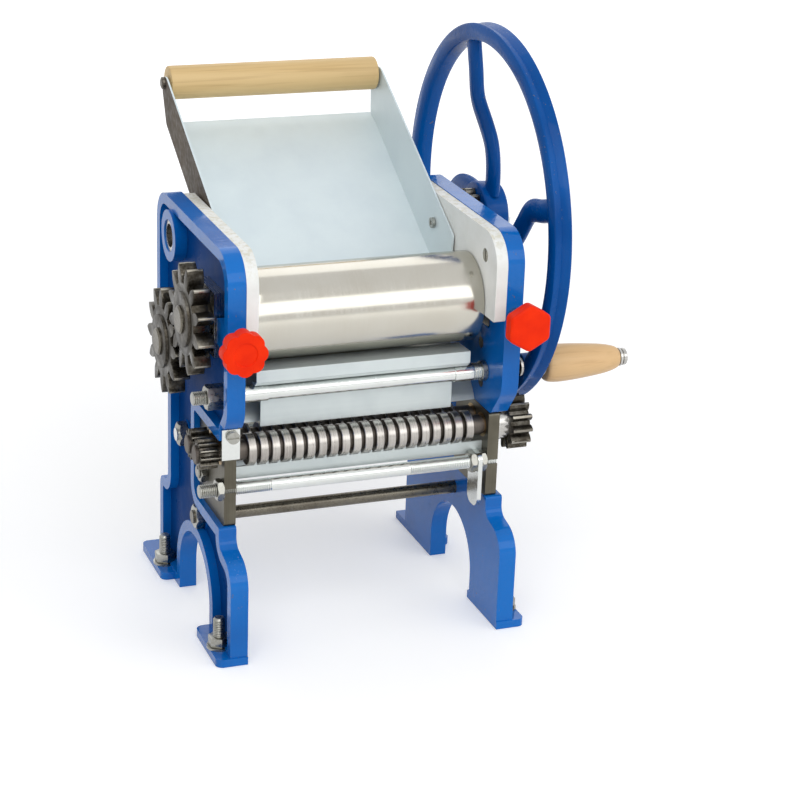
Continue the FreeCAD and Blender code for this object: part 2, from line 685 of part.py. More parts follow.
def rear_roller():
    """Driven roller: its shaft carries gears at both ends."""
    half = ROLLER_END_X
    drum = turned_x([(-half, ROLLER_RADIUS - 0.8), (-half + 0.8, ROLLER_RADIUS),
                     (half - 0.8, ROLLER_RADIUS), (half, ROLLER_RADIUS - 0.8)], REAR_AXIS)
    shaft = bar_x((-SHAFT_END_X, RIM_GEAR_X[1] + 0.6), REAR_AXIS, JOURNAL_RADIUS)
    return joined([drum, shaft])


def roller_gear(axis, phase):
    """Coarse deep-toothed gear that stays in mesh as the rollers part."""
    module = (2 * ROLLER_RADIUS + CLOSED_GAP) / ROLLER_GEAR_TEETH
    x_range = (-ROLLER_GEAR_X[1], -ROLLER_GEAR_X[0])
    gear = gear_x(axis, ROLLER_GEAR_TEETH, module, x_range, phase, JOURNAL_RADIUS, 0.4, 1.1, 1.3)
    spacer = tube_x((-ROLLER_GEAR_X[0], -RIM_OUTER_X - 2.2), axis, JOURNAL_RADIUS + 4, JOURNAL_RADIUS)
    ring = tube_x((-ROLLER_GEAR_X[1] - GEAR_RING_HEIGHT, -ROLLER_GEAR_X[1]), axis,
                  GEAR_RING_RADIUS, JOURNAL_RADIUS)
    return joined([gear, spacer, ring])


def roller_gear_phases():
    """Phases of the rear and front roller gears, set almost fully closed."""
    closed = closed_front_axis()
    near_closed = (closed[0] - 0.4, closed[1])
    rear_phase = direction(REAR_AXIS, near_closed)
    front_phase = meshing_phase(REAR_AXIS, ROLLER_GEAR_TEETH, rear_phase,
                                near_closed, ROLLER_GEAR_TEETH)
    return rear_phase, front_phase


def drive_phases():
    """Phases along the drive train, from the crank pinion to the cutter gear."""
    rim = meshing_phase(CRANK, PINION_TEETH, 0.0, REAR_AXIS, RIM_TEETH)
    high = meshing_phase(REAR_AXIS, TAKEOFF_TEETH, 0.0, IDLER_HIGH, IDLER_TEETH)
    low = meshing_phase(IDLER_HIGH, IDLER_TEETH, high, IDLER_LOW, IDLER_TEETH)
    cutter = meshing_phase(IDLER_LOW, IDLER_TEETH, low, CUTTER, CUTTER_TEETH)
    return rim, high, low, cutter


def double_gear():
    """Gear cluster on the rear roller: crank side rim and cassette take-off."""
    rim_phase = drive_phases()[0]
    rim = gear_x(REAR_AXIS, RIM_TEETH, DRIVE_MODULE, RIM_GEAR_X, rim_phase, JOURNAL_RADIUS)
    takeoff = gear_x(REAR_AXIS, TAKEOFF_TEETH, DRIVE_MODULE, TAKEOFF_X, 0.0, JOURNAL_RADIUS)
    hub_start = BEARING_BOSS_X + WORKING_GAP
    hub = tube_x((hub_start, RIM_GEAR_X[1]), REAR_AXIS, JOURNAL_RADIUS + 10, JOURNAL_RADIUS)
    return joined([rim, takeoff, hub])


def idler(axis, phase):
    """Small idler gear that turns on a stud of the right frame."""
    x_range = (TAKEOFF_X[0] + 0.2, TAKEOFF_X[1] - 0.4)
    return gear_x(axis, IDLER_TEETH, DRIVE_MODULE, x_range, phase, STUD_RADIUS + RUNNING_FIT)


def idler_stud(axis):
    """Shouldered stud: shank through the web, collar behind the gear and head in front."""
    shank = bar_x((FRAME_INNER_X, TAKEOFF_X[1]), axis, STUD_RADIUS)
    collar = bar_x((WEB_OUTER_X, TAKEOFF_X[0] - 0.2), axis, STUD_RADIUS + 1.5)
    head = bar_x((TAKEOFF_X[1], TAKEOFF_X[1] + 1.6), axis, 5.8)
    return joined([shank, collar, head])


# ---------------------------------------------------------------- adjusters
def bearing_block(side):
    """Block that slides in the frame slot and carries the front roller."""
    inner_x = FRAME_INNER_X + SEAM
    face_x = WEB_OUTER_X + SLIDE_FIT
    y_range = (BLOCK_FRONT_Y, BLOCK_REAR_Y)
    tongue_z = (SLOT_Z[0] + SLIDE_FIT, SLOT_Z[1] - SLIDE_FIT)
    tongue = plate_x(rectangle(y_range, tongue_z, SLOT_ROUND + 1), (inner_x, BLOCK_OUTER_X))
    flange = box((face_x, BLOCK_OUTER_X), y_range, (SLOT_Z[0] - BLOCK_LIP, SLOT_Z[1] + BLOCK_LIP))
    body = joined([tongue, flange])
    depth = BLOCK_FRONT_Y + SCREW_ENGAGEMENT + 0.8
    bore = bar_x((FRAME_INNER_X, BLOCK_OUTER_X + 1), FRONT_AXIS, JOURNAL_RADIUS + RUNNING_FIT)
    thread = bar_y((BLOCK_FRONT_Y - 1, depth), SCREW_X, SCREW_Z, SCREW_RADIUS + RUNNING_FIT)
    return on_side(cut_all(body, [bore, thread]), side)


def adjusting_screw(side):
    """Screw held by the front rim, its end turning in the sliding block."""
    shank = bar_y((KNOB_Y[0] + 4, BLOCK_FRONT_Y + SCREW_ENGAGEMENT), SCREW_X, SCREW_Z, SCREW_RADIUS)
    collar = bar_y((FRAME_FRONT_Y - WORKING_GAP - 3, FRAME_FRONT_Y - WORKING_GAP),
                   SCREW_X, SCREW_Z, SCREW_RADIUS + 3)
    return on_side(joined([shank, collar]), side)


def hubbed_knob(cap):
    """A knob cap with its hub, bored for the screw."""
    hub = bar_y((KNOB_Y[1], KNOB_HUB_END_Y), SCREW_X, SCREW_Z, KNOB_HUB_RADIUS)
    bore = bar_y((KNOB_Y[0] + 4, KNOB_HUB_END_Y + 1), SCREW_X, SCREW_Z, SCREW_RADIUS)
    return joined([cap, hub]).cut(bore)


def star_knob():
    """Left adjusting knob: a dished cap with eight shallow lobes."""
    lobes = 8
    ring = STAR_KNOB_RADIUS - KNOB_LOBE_RADIUS
    shapes = [bar_y(KNOB_Y, SCREW_X, SCREW_Z, ring)]
    for step in range(lobes):
        x, z = polar((SCREW_X, SCREW_Z), ring, 360.0 * step / lobes)
        shapes.append(bar_y(KNOB_Y, x, z, KNOB_LOBE_RADIUS))
    cap = joined(shapes)
    dish = bar_y((KNOB_Y[0] - 1, KNOB_Y[0] + 0.8), SCREW_X, SCREW_Z, STAR_KNOB_RADIUS - 7)
    return on_side(hubbed_knob(cap.cut(dish)), -1)


def hex_knob():
    """Right adjusting knob: a hexagonal cap with its corners turned off."""
    corners = [polar((SCREW_X, SCREW_Z), HEX_KNOB_RADIUS, 30 + 60 * step) for step in range(7)]
    face = Part.Face(Part.makePolygon([V(x, KNOB_Y[0], z) for x, z in corners]))
    prism = face.extrude(V(0, KNOB_Y[1] - KNOB_Y[0], 0))
    cone = Part.makeCone(HEX_KNOB_RADIUS - 1.5, HEX_KNOB_RADIUS + 2, 3.5,
                         V(SCREW_X, KNOB_Y[0], SCREW_Z), V(0, 1, 0))
    rest = bar_y((KNOB_Y[0] + 3.5, KNOB_Y[1]), SCREW_X, SCREW_Z, HEX_KNOB_RADIUS - 0.4)
    return hubbed_knob(prism.common(joined([cone, rest])))


# ---------------------------------------------------------------- crank
def spoke(angle):
    """One S-shaped oval spoke in the plane of the wheel."""
    x = sum(WHEEL_X) / 2.0
    inside = WHEEL_RADIUS - WHEEL_RIM_DEPTH
    points = [polar(CRANK, WHEEL_HUB_RADIUS - 3, angle + SPOKE_HUB_LEAD)]
    points += [polar(CRANK, inside - inset, angle + lead) for inset, lead in SPOKE_BENDS]
    curve = Part.BSplineCurve()
    curve.interpolate([V(x, y, z) for y, z in points])
    spine = Part.Wire(curve.toShape())
    start = curve.value(curve.FirstParameter)
    heading = curve.tangent(curve.FirstParameter)[0]
    oval = Part.Ellipse(V(0, 0, 0), SPOKE_WIDTH / 2.0, SPOKE_THICKNESS / 2.0).toShape()
    section = Part.Wire(oval)
    across = heading.cross(V(1, 0, 0))
    section.Placement = FreeCAD.Placement(start, FreeCAD.Rotation(across, V(1, 0, 0), heading, "XYZ"))
    sweep = Part.BRepOffsetAPI.MakePipeShell(spine)
    sweep.setBiNormalMode(V(1, 0, 0))
    sweep.add(section)
    sweep.build()
    sweep.makeSolid()
    return sweep.shape()


def wheel_rim():
    """Rim with a V groove round the outside."""
    left, right = WHEEL_X
    middle = (left + right) / 2.0
    outer = WHEEL_RADIUS
    inner = outer - WHEEL_RIM_DEPTH
    soft = WHEEL_RIM_ROUND
    bend = 0.3 * soft
    points = [(left + soft, inner), (left + bend, inner + bend), (left, inner + soft),
              (left, outer - 2), (left + 1.2, outer),
              (left + 2.4, outer), (middle, outer - WHEEL_GROOVE), (right - 2.4, outer),
              (right - 1.2, outer),
              (right, outer - 2), (right, inner + soft), (right - bend, inner + bend),
              (right - soft, inner)]
    outline = [V(x, r, 0) for x, r in points + points[:1]]
    rim = Part.Face(Part.makePolygon(outline)).revolve(V(0, 0, 0), V(1, 0, 0), 360)
    rim.translate(V(0, CRANK_Y, CRANK_Z))
    return rim


def handwheel():
    """Cast handwheel with four S spokes, a hub and a boss for the grip's spindle."""
    hub = turned_x([(HUB_START_X, WHEEL_HUB_RADIUS - 1), (HUB_START_X + 1, WHEEL_HUB_RADIUS),
                    (WHEEL_HUB_END_X - 1, WHEEL_HUB_RADIUS - 1),
                    (WHEEL_HUB_END_X, WHEEL_HUB_RADIUS - 2)], CRANK)
    spokes = [spoke(SPOKE_START + 360.0 * step / SPOKE_COUNT) for step in range(SPOKE_COUNT)]
    boss = bar_x(WHEEL_X, HANDLE_AXIS, HANDLE_BOSS_RADIUS)
    wheel = joined([wheel_rim(), hub, boss] + spokes)
    shaft_hole = bar_x((HUB_START_X - 1, WHEEL_HUB_END_X + 1), CRANK, CRANK_SHAFT_RADIUS)
    spindle_hole = bar_x((WHEEL_X[0] - 1, WHEEL_X[1] + 1), HANDLE_AXIS, SPINDLE_RADIUS)
    return cut_all(wheel, [shaft_hole, spindle_hole])


def crank_shaft():
    """Shaft in the right bearing, with a spacing collar before the pinion."""
    shaft = bar_x((FRAME_INNER_X + SEAM, WHEEL_HUB_END_X + 6), CRANK, CRANK_SHAFT_RADIUS)
    collar = bar_x((CRANK_BOSS_X + WORKING_GAP, RIM_GEAR_X[0] - 0.2), CRANK, CRANK_SHAFT_RADIUS + 4)
    return joined([shaft, collar])


def crank_pinion():
    x_range = (RIM_GEAR_X[0] - 0.2, RIM_GEAR_X[1] + 0.2)
    return gear_x(CRANK, PINION_TEETH, DRIVE_MODULE, x_range, 0.0, CRANK_SHAFT_RADIUS)


def handwheel_nut():
    x_range = (WHEEL_HUB_END_X, WHEEL_HUB_END_X + 5.5)
    return nut_x(x_range, CRANK, CRANK_SHAFT_RADIUS, 24.0)


def handle_spindle():
    """Spindle riveted through the wheel rim, with a washer and a round nut at its end."""
    tip = GRIP_START_X + GRIP_LENGTH + WORKING_GAP
    inner = WHEEL_X[0] - 1.5
    return turned_x([(inner, SPINDLE_RADIUS + 1.5), (WHEEL_X[0], SPINDLE_RADIUS + 1.8),
                     (WHEEL_X[0], SPINDLE_RADIUS), (WHEEL_X[1], SPINDLE_RADIUS),
                     (WHEEL_X[1], 8.0), (WHEEL_X[1] + 2.4, 8.0), (WHEEL_X[1] + 2.4, SPINDLE_RADIUS),
                     (tip, SPINDLE_RADIUS), (tip, SPINDLE_HEAD), (tip + 1.6, SPINDLE_HEAD),
                     (tip + 1.6, SPINDLE_HEAD - 1.6), (tip + 2.6, SPINDLE_HEAD - 1.6),
                     (tip + 2.6, SPINDLE_HEAD - 0.4), (tip + 4.8, SPINDLE_HEAD - 0.4),
                     (tip + 5.6, SPINDLE_HEAD - 1.4)], HANDLE_AXIS)


def handle_grip():
    """Turned wooden grip, fullest near the wheel and rounded at the free end."""
    start = GRIP_START_X
    full = GRIP_RADIUS
    steps = [(0, full - 2.6), (0.8, full - 1.4), (2.5, full - 0.6), (6, full), (16, full),
             (28, full - 0.9), (38, full - 2.0), (45, full - 3.1), (49, full - 4.1),
             (52, full - 5.2), (53.4, full - 6.1), (54, full - 6.8)]
    scale = GRIP_LENGTH / 54.0
    curve = Part.BSplineCurve()
    curve.interpolate([V(start + along * scale, radius, 0) for along, radius in steps])
    first = V(start, steps[0][1], 0)
    last = V(start + GRIP_LENGTH, steps[-1][1], 0)
    edges = [Part.makeLine(V(start, 0, 0), first), curve.toShape(),
             Part.makeLine(last, V(last.x, 0, 0)), Part.makeLine(V(last.x, 0, 0), V(start, 0, 0))]
    grip = Part.Face(Part.Wire(edges)).revolve(V(0, 0, 0), V(1, 0, 0), 360)
    grip.translate(V(0, HANDLE_AXIS[0], HANDLE_AXIS[1]))
    return grip.cut(bar_x((start, last.x), HANDLE_AXIS, SPINDLE_RADIUS + RUNNING_FIT))


# ---------------------------------------------------------------- cassette
def cassette_plate(side):
    """End plate of the slitting cassette, standing on the frame ledge."""
    top = SHELF_Z - PLATE_TOP_GAP
    rear = NOTCH_BACK_Y - 0.5
    corners = [(PLATE_FRONT_Y, LEDGE_Z, 2), (PLATE_FRONT_Y, top, 3), (rear, top, 4), (rear, LEDGE_Z, 10)]
    body = plate_x(corners, PLATE_X)
    x_range = (PLATE_X[0] - 1, PLATE_X[1] + 1)
    for axis in (CUTTER, CUTTER_REAR):
        body = body.cut(bar_x(x_range, axis, CUTTER_SHAFT_RADIUS + CUTTER_BUSH_WALL))
    for axis in (CASSETTE_ROD, CASSETTE_REAR_ROD):
        body = body.cut(bar_x(x_range, axis, ROD_RADIUS))
    return on_side(body, side)


def cutter_bushes():
    bushes = []
    for side in (1, -1):
        for axis in (CUTTER, CUTTER_REAR):
            bushes.append(on_side(bush_x(PLATE_X, axis, CUTTER_SHAFT_RADIUS, CUTTER_BUSH_WALL), side))
    return Part.makeCompound(bushes)


def ring_centres(shift):
    first = -RING_PITCH * (RING_COUNT - 1) / 2.0 + shift
    return [first + RING_PITCH * step for step in range(RING_COUNT)]


def cutter_roll(axis, centres, ring, left_end, right_end):
    """Slitting roll: rings with square grooves between them, turned in one piece."""
    core_end = PLATE_X[0] - WORKING_GAP - 1.6
    outline = [(-left_end, CUTTER_SHAFT_RADIUS - 0.6), (-left_end + 0.6, CUTTER_SHAFT_RADIUS),
               (-core_end, CUTTER_SHAFT_RADIUS), (-core_end, CORE_RADIUS)]
    for centre in centres:
        outline += [(centre - ring / 2.0, CORE_RADIUS), (centre - ring / 2.0, RING_RADIUS),
                    (centre + ring / 2.0, RING_RADIUS), (centre + ring / 2.0, CORE_RADIUS)]
    outline += [(core_end, CORE_RADIUS), (core_end, CUTTER_SHAFT_RADIUS),
                (right_end - 0.6, CUTTER_SHAFT_RADIUS), (right_end, CUTTER_SHAFT_RADIUS - 0.6)]
    return turned_x(outline, axis)


def front_cutter():
    return cutter_roll(CUTTER, ring_centres(0.0), FRONT_RING_WIDTH,
                       TIMING_GEAR_X[1] + 2, CUTTER_GEAR_X[1] + 1)


def rear_cutter():
    centres = ring_centres(RING_PITCH / 2.0)[:-1]
    return cutter_roll(CUTTER_REAR, centres, REAR_RING_WIDTH, TIMING_GEAR_X[1] + 2, PLATE_X[1] + 1.5)


def timing_gear(axis, phase):
    """Fine gear that turns the two slitting rolls against each other."""
    module = CUTTER_SPACING / TIMING_TEETH
    x_range = (-TIMING_GEAR_X[1], -TIMING_GEAR_X[0])
    return gear_x(axis, TIMING_TEETH, module, x_range, phase, CUTTER_SHAFT_RADIUS, 0.14)


def cutter_drive_gear():
    phase = drive_phases()[3]
    return gear_x(CUTTER, CUTTER_TEETH, DRIVE_MODULE, CUTTER_GEAR_X, phase, CUTTER_SHAFT_RADIUS)


def cutter_collar():
    x_range = (PLATE_X[1] + WORKING_GAP, CUTTER_GEAR_X[0])
    return tube_x(x_range, CUTTER, RING_RADIUS + 0.3, CUTTER_SHAFT_RADIUS)


def comb(sheet_y, centres, ring):
    """Scraper comb whose fingers reach into the grooves of one roll."""
    tip = CUTTER_Z - CORE_RADIUS - WORKING_GAP
    shoulder = CUTTER_Z - RING_RADIUS - WORKING_GAP
    y_range = (sheet_y - COMB_SHEET / 2.0, sheet_y + COMB_SHEET / 2.0)
    spine = box((-PLATE_X[0], PLATE_X[0]), y_range, (COMB_BOTTOM_Z, shoulder))
    width = RING_PITCH - ring - 2 * WORKING_GAP
    fingers = []
    for centre in centres:
        fingers.append(box((centre - width / 2.0, centre + width / 2.0), y_range, (shoulder, tip)))
    return joined([spine] + fingers)


def front_comb():
    centres = [x + RING_PITCH / 2.0 for x in ring_centres(0.0)[:-1]]
    return comb(CUTTER_Y - COMB_SHEET, centres, FRONT_RING_WIDTH)


def rear_comb():
    centres = ring_centres(0.0)
    return comb(CUTTER_REAR_Y + COMB_SHEET, centres, REAR_RING_WIDTH)


def inner_guide():
    """Round-bottomed plate on the front cassette rod, beside the noodle exit."""
    y, z = CASSETTE_ROD
    corners = [(y - 7, z + 6.5, 5), (y + 10.5, z + 6.5, 1), (y + 10.5, z - 32, 7), (y - 7, z - 32, 7)]
    body = plate_x(corners, INNER_GUIDE_X)
    x_range = (INNER_GUIDE_X[0] - 1, INNER_GUIDE_X[1] + 1)
    hole = bar_x(x_range, CASSETTE_ROD, ROD_RADIUS)
    slot = box(x_range, (CUTTER_Y - 1.5 * COMB_SHEET, CUTTER_Y - 0.5 * COMB_SHEET),
               (COMB_BOTTOM_Z, z + 8))
    return cut_all(body, [hole, slot])


def cassette_front_rod():
    """Threaded rod through both cassette plates; its left end stands well out."""
    return bar_x((-CASSETTE_ROD_END_X, PLATE_X[1]), CASSETTE_ROD, ROD_RADIUS)


def cassette_nuts():
    """Nuts outside the end plates, and on each side of the guide plate.

    The right end of the front rod is screwed into its plate and has none.
    """
    outside = (PLATE_X[1], PLATE_X[1] + 4.5)
    places = [(1, (INNER_GUIDE_X[0] - 4.5, INNER_GUIDE_X[0]), CASSETTE_ROD),
              (1, (INNER_GUIDE_X[1], PLATE_X[0]), CASSETTE_ROD),
              (-1, outside, CASSETTE_ROD)]
    places += [(side, outside, CASSETTE_REAR_ROD) for side in (1, -1)]
    nuts = []
    for side, x_range, axis in places:
        nuts.append(on_side(nut_x(x_range, axis, ROD_RADIUS, NUT_FLATS - 2), side))
    return Part.makeCompound(nuts)


def cassette_rear_rod():
    return bar_x((-PLATE_X[1] - 6, PLATE_X[1] + 6), CASSETTE_REAR_ROD, ROD_RADIUS)


# ---------------------------------------------------------------- rods and sheets
def front_tie_rod():
    """Tie rod under the front roller, long at the left, with a low head at the right."""
    rod = bar_x((-FRONT_ROD_END_X, WEB_OUTER_X), FRONT_ROD, ROD_RADIUS)
    head = bar_x((WEB_OUTER_X, WEB_OUTER_X + 2.5), FRONT_ROD, ROD_RADIUS + 1.3)
    return joined([rod, head])


def front_rod_sleeve():
    """Spacing sleeve over the front tie rod, with a fatter right end and round collars."""
    inner = FRAME_INNER_X
    thin = SLEEVE_END_RADIUS - 0.6
    outline = [(-inner, 6.8), (-inner + 4, 6.8), (-inner + 4, SLEEVE_END_RADIUS),
               (-SLEEVE_THIN_X, SLEEVE_END_RADIUS), (-SLEEVE_THIN_X, thin), (SLEEVE_THIN_X, thin),
               (SLEEVE_THIN_X, SLEEVE_END_RADIUS), (inner - 4, SLEEVE_END_RADIUS),
               (inner - 4, 6.8), (inner, 6.8)]
    return turned_x(outline, FRONT_ROD).cut(bar_x((-inner, inner), FRONT_ROD, ROD_RADIUS))


def tie_rod(axis, left_end):
    return bar_x((-left_end, RIM_OUTER_X + 2.5), axis, ROD_RADIUS)


def frame_nuts():
    """Nuts on the tie rods, outside both side frames."""
    nuts = [nut_x((-WEB_OUTER_X - FRONT_NUT_LENGTH, -WEB_OUTER_X), FRONT_ROD, ROD_RADIUS)]
    start = WEB_OUTER_X + 1
    for side in (1, -1):
        for axis in (LOWER_ROD, REAR_ROD):
            nuts.append(on_side(nut_x((start, start + NUT_LENGTH), axis, ROD_RADIUS), side))
    return Part.makeCompound(nuts)


def front_scraper():
    """Folded scraper under the front roller, carried by the front tie rod sleeve."""
    y, z = FRONT_ROD
    top = z + SLEEVE_END_RADIUS
    path = [(FRONT_AXIS[0] - 2, FRONT_AXIS[1] - ROLLER_RADIUS - 2.2), (y - 7.2, z + 17.4),
            (y - 7.2, z + 9.3), (y - 3.2, top), (y + 3, top)]
    return strip_x(path, GUIDE_SHEET, (-SCRAPER_X, SCRAPER_X)).removeSplitter()


def dough_guide_plate():
    """Sheet behind the front tie rod that leads the dough down to the cutters."""
    y = FRONT_ROD[0] + SLEEVE_END_RADIUS
    bottom = CUTTER_Z + RING_RADIUS + 2.3
    path = [(y + 0.2, bottom), (y, bottom + 5.2), (y, FRONT_ROD[1] + 2.8)]
    outline = strip_outline(path, -GUIDE_SHEET)
    points = [V(-GUIDE_X, a, b) for a, b in outline + outline[:1]]
    return Part.Face(Part.makePolygon(points)).extrude(V(2 * GUIDE_X, 0, 0))


def rear_scraper():
    """Scraper and guide sheet from the rear roller down to the back of the cutters."""
    tip = polar(REAR_AXIS, ROLLER_RADIUS + 1.0, 205.0)
    bottom = CUTTER_Z + RING_RADIUS + 2.5
    path = [tip, (CUTTER_REAR_Y - 0.5, bottom + 6), (CUTTER_REAR_Y - 4.5, bottom)]
    return strip_x(path, GUIDE_SHEET, (-FRAME_INNER_X, FRAME_INNER_X))


# ---------------------------------------------------------------- clip
def retaining_clip():
    """Swivelling clip on the left frame that keeps the cassette in its notch."""
    y_range = (CLIP_SEAT_Y - SEAM - CLIP_SHEET, CLIP_SEAT_Y - SEAM)
    x_range = (-CLIP_PIVOT_X - 7, -CLIP_PIVOT_X + 5)
    z_low = CLIP_PIVOT_Z - 16
    plate = box(x_range, y_range, (z_low, CLIP_PIVOT_Z + 5))
    hook = box(x_range, (y_range[0], PLATE_FRONT_Y - SEAM), (z_low, CLIP_PIVOT_Z - 10))
    body = joined([plate, hook])
    return body.cut(bar_y((y_range[0] - 1, y_range[1] + 1), -CLIP_PIVOT_X, CLIP_PIVOT_Z,
                          CLIP_SCREW_RADIUS + RUNNING_FIT))


def clip_screw():
    """Slotted screw the clip swivels on."""
    face = CLIP_SEAT_Y - SEAM - CLIP_SHEET - SEAM
    stem = bar_y((face, CLIP_SEAT_Y + 8), -CLIP_PIVOT_X, CLIP_PIVOT_Z, CLIP_SCREW_RADIUS)
    head = bar_y((face - 2.6, face), -CLIP_PIVOT_X, CLIP_PIVOT_Z, 4.2)
    slot = box((-CLIP_PIVOT_X - 5, -CLIP_PIVOT_X + 5), (face - 3, face - 1.4),
               (CLIP_PIVOT_Z - 0.6, CLIP_PIVOT_Z + 0.6))
    return joined([stem, head]).cut(slot)


def parts():
    """Every sub-part by name."""
    rear_phase, front_phase = roller_gear_phases()
    _, high_phase, low_phase, _ = drive_phases()
    rear_timing = meshing_phase(CUTTER, TIMING_TEETH, 0.0, CUTTER_REAR, TIMING_TEETH)
    return {
        "left_side_frame": side_frame(-1),
        "right_side_frame": side_frame(1),
        "left_guard": guard(-1),
        "right_guard": guard(1),
        "guard_screws": guard_screws(),
        "hopper_tray": hopper_tray(),
        "tray_screws": tray_screws(),
        "tray_roller": tray_roller(),
        "tray_roller_pin": tray_roller_pin(),
        "front_roller": front_roller(),
        "front_roller_gear": roller_gear(FRONT_AXIS, front_phase),
        "rear_roller": rear_roller(),
        "rear_roller_gear": roller_gear(REAR_AXIS, rear_phase),
        "double_gear": double_gear(),
        "left_roller_bush": rear_roller_bushes(-1),
        "right_roller_bush": rear_roller_bushes(1),
        "left_bearing_block": bearing_block(-1),
        "right_bearing_block": bearing_block(1),
        "left_adjusting_screw": adjusting_screw(-1),
        "right_adjusting_screw": adjusting_screw(1),
        "left_star_knob": star_knob(),
        "right_hex_knob": hex_knob(),
        "handwheel": handwheel(),
        "crank_shaft": crank_shaft(),
        "blank_bush": blank_bush(),
        "crank_bush": bush_x((FRAME_INNER_X, CRANK_BOSS_X), CRANK, CRANK_SHAFT_RADIUS),
        "crank_pinion": crank_pinion(),
        "handwheel_nut": handwheel_nut(),
        "handle_spindle": handle_spindle(),
        "handle_grip": handle_grip(),
        "upper_idler": idler(IDLER_HIGH, high_phase),
        "lower_idler": idler(IDLER_LOW, low_phase),
        "upper_idler_stud": idler_stud(IDLER_HIGH),
        "lower_idler_stud": idler_stud(IDLER_LOW),
        "front_tie_rod": front_tie_rod(),
        "front_rod_sleeve": front_rod_sleeve(),
        "lower_tie_rod": tie_rod(LOWER_ROD, RIM_OUTER_X + 2.5),
        "rear_tie_rod": tie_rod(REAR_ROD, RIM_OUTER_X + 2.5),
        "frame_nuts": frame_nuts(),
        "front_scraper": front_scraper(),
        "rear_scraper": rear_scraper(),
        "dough_guide_plate": dough_guide_plate(),
        "cassette_left_plate": cassette_plate(-1),
        "cassette_right_plate": cassette_plate(1),
        "cutter_bushes": cutter_bushes(),
        "front_cutter": front_cutter(),
        "rear_cutter": rear_cutter(),
        "front_timing_gear": timing_gear(CUTTER, 0.0),
        "rear_timing_gear": timing_gear(CUTTER_REAR, rear_timing),
        "cutter_drive_gear": cutter_drive_gear(),
        "cutter_collar": cutter_collar(),
        "front_comb": front_comb(),
        "rear_comb": rear_comb(),
        "right_inner_guide": inner_guide(),
        "cassette_front_rod": cassette_front_rod(),
        "cassette_rear_rod": cassette_rear_rod(),
        "cassette_nuts": cassette_nuts(),
        "retaining_clip": retaining_clip(),
        "clip_screw": clip_screw(),
    }


os.makedirs("parts", exist_ok=True)
for name, shape in parts().items():
    shape.exportStep("parts/" + name + ".step")
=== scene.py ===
"""Looks of a hand-cranked noodle machine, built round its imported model.

Blue cast side frames carry two dough rollers, a feed tray with a wooden roller,
a slitting cassette and a spoked handwheel with a wooden grip.
"""

import json
import logging
import math
from collections.abc import Callable, Iterable, Sequence
from dataclasses import dataclass
from enum import Enum

import bmesh
import bpy
from mathutils import Matrix, Vector


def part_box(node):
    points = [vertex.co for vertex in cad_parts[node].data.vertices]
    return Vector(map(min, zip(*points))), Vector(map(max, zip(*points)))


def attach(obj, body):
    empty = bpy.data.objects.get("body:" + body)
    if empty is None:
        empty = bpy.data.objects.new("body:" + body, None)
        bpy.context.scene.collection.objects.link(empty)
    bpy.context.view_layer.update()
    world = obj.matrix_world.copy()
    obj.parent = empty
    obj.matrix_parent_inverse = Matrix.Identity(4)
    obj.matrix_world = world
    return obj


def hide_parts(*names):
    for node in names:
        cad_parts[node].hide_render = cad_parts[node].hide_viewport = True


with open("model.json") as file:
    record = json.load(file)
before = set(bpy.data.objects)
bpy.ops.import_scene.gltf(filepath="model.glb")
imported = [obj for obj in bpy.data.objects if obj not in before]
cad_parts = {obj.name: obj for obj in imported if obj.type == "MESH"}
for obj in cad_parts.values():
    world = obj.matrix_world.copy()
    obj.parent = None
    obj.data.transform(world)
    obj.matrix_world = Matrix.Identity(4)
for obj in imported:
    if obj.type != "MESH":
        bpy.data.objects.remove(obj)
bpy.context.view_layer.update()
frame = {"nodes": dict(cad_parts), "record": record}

MM = 0.001
log = logging.getLogger("noodle_machine")

Colour = tuple[float, float, float]
Point = tuple[float, float]
Socket = bpy.types.NodeSocket
Mesh = bmesh.types.BMesh

CHIP_GREY: Colour = (0.12, 0.12, 0.13)
FLOUR: Colour = (0.82, 0.80, 0.76)
ORIGIN: Point = (0.0, 0.0)
FLAT_ANGLE = 0.6
SHARP_ANGLE = 35.0
THREAD_PITCH = 1.25
THREAD_DEPTH = 0.55
THREAD_CREST = (0.35, 0.6)
TIP_LAND = 0.7
TIP_FACING = 0.6


def map_range(
    tree: bpy.types.NodeTree, source: Socket, given: Point = (0.0, 1.0), wanted: Point = (0.0, 1.0)
) -> Socket:
    """Map a range of a factor to another range.

    Args:
        tree: Node tree that gets the new node.
        source: The factor socket.
        given: Range of the factor.
        wanted: Range of the result.

    Returns:
        The socket of the result.
    """
    node = tree.nodes.new("ShaderNodeMapRange")
    labels = ("From Min", "From Max", "To Min", "To Max")
    for label, value in zip(labels, (*given, *wanted)):
        node.inputs[label].default_value = value
    tree.links.new(source, node.inputs["Value"])
    return node.outputs["Result"]


class Grain(Enum):
    """Which way the fine lines of a worked metal surface run."""

    ROUND_X = (3.0, 0.04, 0.04)
    ALONG_X = (0.04, 3.0, 3.0)
    ALONG_Z = (3.0, 3.0, 0.04)
    EVEN = (1.0, 1.0, 1.0)


